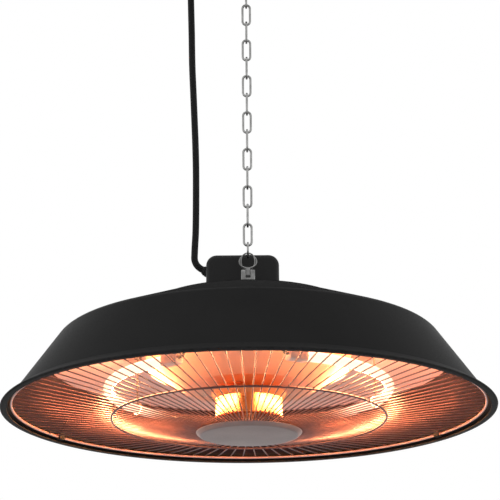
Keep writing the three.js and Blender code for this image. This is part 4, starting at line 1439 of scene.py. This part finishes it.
@dataclass
class Hanger:
    """The eye, the fork with its rod and pin, and the nuts."""

    pin_height: float = 144.6
    pin_radius: float = 2.0
    eye_rise: float = 14.7
    eye_radius: float = 8.0
    eye_wire: float = 3.0
    eye_steps: int = 48
    twist: float = 0.8
    strand_slack: float = 0.03
    tongue_width: float = 4.4
    tongue_depth: float = 8.0
    fork_width: float = 14.2
    fork_depth: float = 11.0
    above_pin: float = 4.4
    below_pin: float = 8.0
    rod_radius: float = 4.0
    rod_pitch: float = 1.25
    slack: float = 0.1
    nut_across: float = 13.0
    collar_radius: float = 6.5
    collar_fillet: float = 1.2
    cap_top: float = 111.28
    rod_foot: float = -10.3

    def across(self, stock: Stock) -> Stock:
        """Lay a stock drawn along Z across the hanger, along the pin."""
        return stock.place(Matrix.Translation((0, 0, self.pin_height)) @ Matrix.Rotation(math.pi / 2, 4, "Y"))

    def eye(self) -> None:
        """Build the eye from two turns of wire over a flat tongue."""
        centre = self.pin_height + self.eye_rise
        strand = self.eye_wire / 4 - self.strand_slack
        half, deep = self.tongue_width / 2, self.tongue_depth / 2
        stock = Stock()
        for phase in (0.0, math.pi):
            points = []
            for k in range(self.eye_steps):
                turn = FULL_TURN * k / self.eye_steps
                swing = self.twist * math.sin(turn + phase)
                radius = self.eye_radius + self.twist * math.cos(turn * 2.0 + phase)
                points.append(Vector((radius * math.cos(turn), swing, centre + radius * math.sin(turn))))
            stock.take(Stock().sweep(points, strand, 10, closed=True))
        stock.take(self.across(bar(deep, -half, half, 32, 0.4)))
        neck_top = centre - self.eye_radius + 0.6
        stock.take(Stock().block((-half, -deep, self.pin_height), (half, deep, neck_top), 0.4, 2))
        publish(stock, "eye", DULL_ZINC, "hanger_eye", body=Body.CHAIN)

    def fork(self) -> None:
        """Build the fork, its collar and the threaded rod."""
        half, deep = self.fork_width / 2, self.fork_depth / 2
        top, bottom = self.pin_height + self.above_pin, self.pin_height - self.below_pin
        fork = Stock().block((-half, -deep, bottom), (half, deep, top), 1.0)
        slot = self.tongue_width / 2 + GAP
        floor = self.pin_height - self.tongue_depth / 2 - GAP
        opening = Stock().block((-slot, -deep - OVERRUN, floor), (slot, deep + OVERRUN, top + 2 * OVERRUN),
                                0.5, 2)
        bore = self.across(bar(self.pin_radius + self.slack, -half - OVERRUN, half + OVERRUN))
        fork.drill(opening, bore)
        collar, seat = self.collar_radius, bottom + self.collar_fillet
        fork.take(Stock().lathe([Corner(0, self.cap_top + GAP), Corner(collar, self.cap_top + GAP, 0.5),
                                 Corner(collar, seat, self.collar_fillet), Corner(0, seat)], 40))
        core, foot = self.rod_radius - 0.3, self.rod_foot
        fork.take(Stock().lathe([Corner(0, foot), Corner(core - 0.6, foot), Corner(core, foot + 0.8),
                                 Corner(core, self.cap_top + 1), Corner(0, self.cap_top + 1)], 28))
        fork.take(thread(self.rod_radius - self.slack, foot + 0.6, self.cap_top - 1, self.rod_pitch))
        publish(fork, "fork", DULL_ZINC, "hanger_clevis")

    def build(self) -> None:
        """Build the hanger, with its pin and the nuts under the cap and under the reflector."""
        self.eye()
        self.fork()
        half = self.fork_width / 2
        publish(self.across(bar(self.pin_radius, -half, half, 24, 0.5)), "pin", ZINC, "hanger_pin")
        for node in ("hanger_nut", "reflector_nut"):
            stock = nut(self.nut_across, self.rod_radius + self.slack, *heights(node))
            publish(stock, node + "_hexagon", ZINC, node)


# Shade


@dataclass
class Shade:
    """The spun shade and its top cap with three button screws."""

    rim_radius: float = 245.0
    neck_radius: float = 234.0
    neck_height: float = 8.8
    neck_bend: float = 3.0
    shoulder_radius: float = 189.0
    shoulder_height: float = 73.0
    shoulder_bend: float = 14.0
    roof_pitch: float = 21.5
    sheet: float = 1.2
    hem_bend: float = 1.6
    hem_return: float = 5.0
    hole_radius: float = 74.0
    seat_bend: float = 2.0
    cap_radius: float = 103.0
    cap_hole: float = 4.3
    cap_proud: float = 0.4
    cap_sheet: float = 1.5
    cap_flange: float = 11.0
    cap_step: float = 4.0
    cap_step_width: float = 3.0
    cap_bend: float = 1.6
    crease: float = 40.0
    screw_angles: tuple[float, ...] = (90.0, 210.0, 330.0)

    def roof_at(self, radius: float) -> float:
        """Return the roof's height at a radius."""
        slope = math.tan(math.radians(self.roof_pitch))
        return self.shoulder_height + (self.shoulder_radius - radius) * slope

    def cap_edge(self) -> float:
        """Return the height of the cap's flange."""
        return self.roof_at(self.cap_radius) + self.cap_proud

    def shell(self) -> None:
        """Build the shade in one sheet, from the seat to the rolled hem."""
        seat = self.cap_edge() - self.cap_sheet - GAP
        climb = (seat - self.shoulder_height) / math.tan(math.radians(self.roof_pitch))
        turn = math.atan(self.neck_height / (self.rim_radius - self.neck_radius))
        tangent = self.rim_radius - self.hem_bend + self.hem_bend * math.sin(turn)
        tip = tangent + (self.hem_bend + self.hem_bend * math.cos(turn)) / math.tan(turn)
        stock = Stock().sheet([
            Corner(self.hole_radius, seat), Corner(self.shoulder_radius - climb, seat, self.seat_bend),
            Corner(self.shoulder_radius, self.shoulder_height, self.shoulder_bend),
            Corner(self.neck_radius, self.neck_height, self.neck_bend), Corner(tip, 0.0, self.hem_bend),
            Corner(self.rim_radius - self.hem_bend - self.hem_return, 0.0)], self.sheet)
        publish(stock, "shade", PAINT, "shade_shell", crease=self.crease)

    def cap(self) -> None:
        """Build the pressed cap."""
        edge = self.cap_edge()
        top = edge + self.cap_step
        step = self.cap_radius - self.cap_flange
        stock = Stock().sheet([
            Corner(self.cap_hole, top), Corner(step - self.cap_step_width, top, self.cap_bend),
            Corner(step, edge, self.cap_bend), Corner(self.cap_radius, edge)], self.cap_sheet, 160)
        publish(stock, "cap", PAINT, "top_cap", crease=self.crease)

    def build(self) -> None:
        """Build the shade, and the cap with its button screws."""
        self.shell()
        self.cap()
        reach = self.cap_radius - self.cap_flange / 2
        for number, angle in enumerate(self.screw_angles, 1):
            stock = button_screw(1.6, 3.2, 1.8, 6.0).shift(*polar(reach, angle, self.cap_edge() + GAP))
            publish(stock, f"cap_button_{number}", PAINT, f"cap_screw_{number}")


# Terminal housing


@dataclass
class TerminalBox:
    """The moulded housing on the cap, with what it holds."""

    centre: float = -5.6
    width: float = 75.8
    front: float = 24.0
    depth: float = 46.0
    bottom: float = 111.58
    top: float = 175.6
    wall: float = 2.0
    rounding: float = 5.0
    brow: float = 11.0
    port_slack: float = 0.1

    def shape(self, inset: float, bottom: float) -> Stock:
        """Build the housing's outline as a solid block.

        Args:
            inset: How far inside the outer faces it lies.
            bottom: Height of its lower face.

        Returns:
            The block.
        """
        half = self.width / 2 - inset
        low = (self.centre - half, self.front + inset, bottom)
        high = (self.centre + half, self.front + self.depth - inset, self.top - inset)
        stock = Stock().block(low, high)
        edges = stock.bm.edges
        brows = [e for e in edges if keeps(e, 0) and all(abs(v.co.z - high[2]) < NEAR for v in e.verts)]
        stock.bevel(brows, self.brow - inset, 8)
        upright = [e for e in edges if keeps(e, 0) and keeps(e, 1) and e.calc_length() > self.depth / 2]
        outline = [e for e in edges if keeps(e, 1) and all(v.co.z > bottom + 1.0 for v in e.verts)
                   and min(abs(e.verts[0].co.y - y) for y in (low[1], high[1])) < NEAR]
        stock.bevel(list(dict.fromkeys(upright + outline)), self.rounding - inset / 2, 5, clamp=True)
        return stock

    def build(self) -> None:
        """Build the hollow housing with its port for the strain relief, and dress what it holds."""
        shell, hollow = self.shape(0.0, self.bottom), self.shape(self.wall, self.bottom - OVERRUN)
        cord = PowerCord()
        port = bar(cord.gland_radius + self.port_slack, -cord.gland_in - 1.0, cord.gland_in - 1.0, 32)
        port.place(facing(cord.axis(), Vector(cord.gland_at)))
        publish(shell.drill(hollow, port), "housing", PLASTIC, "terminal_housing", crease=35.0)
        dress(CERAMIC, "terminal_block")
        dress(PLASTIC, "thermal_cutout")
        dress(SLEEVE, "supply_lead", "tube_lead_left", "tube_lead_right")
        dress(ZINC, "housing_screw_left", "housing_screw_right")


# Reflector, tube and grille


@dataclass
class Reflector:
    """The polished W-shaped reflector with its central column, and its spacers."""

    sheet: float = 0.8
    rod_hole: float = 4.3
    column: tuple[Corner, ...] = (
        Corner(33.5, -6.0, 2.0), Corner(33.5, 14.0, 2.0), Corner(38.0, 21.0, 3.0), Corner(64.0, 24.5, 4.0))
    flank: tuple[float, float] = (100.0, 44.0)
    flank_steps: int = 12
    crown_inner: float = 130.0
    crown: Corner = Corner(158.0, 79.0, 5.0)
    skirt: Corner = Corner(201.2, 50.0)

    def build(self) -> None:
        """Build the reflector in one sheet, its wall on the upper side, and dress its spacers."""
        corners = [Corner(self.rod_hole, self.column[0].height), *self.column]
        run, rise = self.crown_inner - self.flank[0], self.crown.height - self.flank[1]
        for i in range(self.flank_steps + 1):
            turn = (1.0 - i / self.flank_steps) * math.pi / 2.0
            corners.append(Corner(self.crown_inner - run * math.sin(turn),
                                  self.crown.height - rise * (1 - math.cos(turn))))
        stock = Stock().sheet([*corners, self.crown, self.skirt], -self.sheet)
        publish(stock, "reflector_sheet", MIRROR, "reflector", crease=35.0)
        dress(CERAMIC, *(f"reflector_spacer_{number}" for number in (1, 2, 3)))


@dataclass
class TubeSet:
    """The glowing tube with its ceramic ends, brackets and clips."""

    ring_radius: float = 139.5
    height: float = 24.0
    radius: float = 5.0
    gap_centre: float = -96.0
    gap_angle: float = 30.0
    chords: int = 24
    steps: int = 120
    straight: float = 12.0
    socket: float = 8.0
    nose: float = 24.0
    end_half: float = 5.8
    end_top: float = 7.5
    end_rounding: float = 1.8
    lead_bore: float = 1.7

    def tip(self, side: Side) -> tuple[Vector, Vector]:
        """Return where the ring ends on one side, and the direction out of it.

        Args:
            side: The side.

        Returns:
            The end of the arc and a unit vector.
        """
        sign = 1.0 if side is Side.RIGHT else -1.0
        turn = self.gap_centre + sign * self.gap_angle
        step = (360.0 - 2.0 * self.gap_angle) / self.chords
        end = polar(self.ring_radius, turn, self.height)
        return end, (end - polar(self.ring_radius, turn + sign * step, self.height)).normalized()

    def tube(self) -> None:
        """Build the quartz tube: its arc and a short straight at both ends."""
        start, span = self.gap_centre + self.gap_angle, 360.0 - 2.0 * self.gap_angle
        arc = [polar(self.ring_radius, start + span * k / self.steps, self.height)
               for k in range(self.steps + 1)]
        (first, out), (last, away) = self.tip(Side.RIGHT), self.tip(Side.LEFT)
        line = [first + out * self.straight, *arc, last + away * self.straight]
        stock = Stock().sweep(line, self.radius, 20)
        publish(stock, "quartz_tube", QUARTZ, "heating_tube", "heating_filament")

    def end(self, side: Side) -> None:
        """Build one ceramic end, a rounded block with a socket and a bore for the lead.

        Args:
            side: The side.
        """
        mouth, half = self.straight - self.socket, self.end_half
        block = Stock().block((mouth, -half, -half), (self.nose, half, self.end_top), self.end_rounding)
        socket = bar(self.radius + GAP, mouth - 1.0, self.straight + GAP, 32)
        bore = bar(self.lead_bore, self.straight, self.nose + 1.0, 32)
        block.drill(*(cutter.place(Matrix.Rotation(math.pi / 2, 4, "Y")) for cutter in (socket, bore)))
        at, out = self.tip(side)
        block.place(Matrix.Translation(at) @ Matrix.Rotation(math.atan2(out.y, out.x), 4, "Z"))
        publish(block, f"ceramic_end_{side.value}", CERAMIC, f"tube_end_{side.value}")

    def build(self) -> None:
        """Build the tube and dress what holds it."""
        self.tube()
        for side in Side:
            self.end(side)
            dress(ZINC, f"end_bracket_{side.value}")
            dress(DULL_ZINC, f"tube_clip_{side.value}")


@dataclass
class Grille:
    """Radial wires on two rings and a hub, with the dished centre disc."""

    wires: int = 104
    ring_radius: float = 234.2
    ring_height: float = 4.4
    ring_wire: float = 2.6
    ring_steps: int = 208
    inner_radius: float = 136.1
    inner_height: float = -5.8
    inner_wire: float = 2.2
    spoke: float = 1.3
    weld: float = 0.25
    tail: float = 0.4
    hub_radius: float = 46.0
    hub_height: float = -18.0
    hub_thickness: float = 2.6
    hub_bore: float = 2.8
    disc_radius: float = 52.5
    disc_sheet: float = 1.2
    pad_radius: float = 6.0

    def ring(self, radius: float, height: float, wire: float, sides: int = 12) -> Stock:
        """Build one ring of round wire.

        Args:
            radius: Radius of its centreline.
            height: Height of its centreline.
            wire: Diameter of the wire.
            sides: Number of sides of the wire.

        Returns:
            The ring.
        """
        outline = [Corner(radius + wire / 2 * math.cos(a), height + wire / 2 * math.sin(a))
                   for a in (FULL_TURN * k / sides for k in range(sides))]
        return Stock().lathe(outline, self.ring_steps, closed=True)

    def mesh(self) -> None:
        """Build the welded grille and its outer ring."""
        rise, lift = ((self.spoke + wire) / 2 - self.weld for wire in (self.ring_wire, self.inner_wire))
        line = [polar(self.hub_radius - self.hub_thickness, 0.0, self.hub_height),
                polar(self.inner_radius, 0.0, self.inner_height + lift),
                polar(self.ring_radius + self.tail, 0.0, self.ring_height + rise)]
        stock = Stock().sweep(line, self.spoke / 2, 8).around(self.wires, 180.0 / self.wires)
        stock.take(self.ring(self.inner_radius, self.inner_height, self.inner_wire))
        low, high = (self.hub_height + side * self.hub_thickness / 2 for side in (-1, 1))
        stock.take(Stock().lathe([Corner(self.hub_bore, low), Corner(self.hub_radius, low, 0.6),
                                  Corner(self.hub_radius, high, 0.6), Corner(self.hub_bore, high)],
                                 96, closed=True))
        publish(stock, "wire_grille", WIRE_LACQUER, "grille")
        # The outer ring's lighter lacquer is painted glow light on the same steel as the wires.
        publish(self.ring(self.ring_radius, self.ring_height, self.ring_wire), "outer_ring", GLOW_LIT_RING_LACQUER)

    def disc(self) -> None:
        """Build the dished disc below the hub."""
        low, high = heights("grille_disc")
        outer, inner = self.disc_radius, self.disc_radius - self.disc_sheet
        floor = low + self.disc_sheet
        pad = self.hub_height - self.hub_thickness / 2 - GAP
        stock = Stock().lathe([
            Corner(0, low), Corner(outer - 4.2, low, 4.0), Corner(outer, low + 3.4, 2.0),
            Corner(outer, high, 0.4), Corner(inner, high, 0.4), Corner(inner, floor + 3.0, 1.5),
            Corner(inner - 4.0, floor, 2.0), Corner(self.pad_radius, floor), Corner(self.pad_radius, pad),
            Corner(0, pad)], 128)
        publish(stock, "centre_disc", LACQUER, "grille_disc")

    def build(self) -> None:
        """Build the grille and dress its screw and clips."""
        self.mesh()
        self.disc()
        dress(ZINC, "hub_screw")
        dress(PAINT, *(f"grille_clip_{number}" for number in (1, 2, 3)))


def main() -> None:
    """Build the studio and the heater."""
    logging.basicConfig(level=logging.INFO, format="%(message)s")
    for part in (Studio(), PowerCord(), CeilingFitting(), Chain(), Hanger(), Shade(), TerminalBox(),
                 Reflector(), TubeSet(), Grille()):
        log.info("building %s", type(part).__name__)
        part.build()


if __name__ == "__main__":
    main()
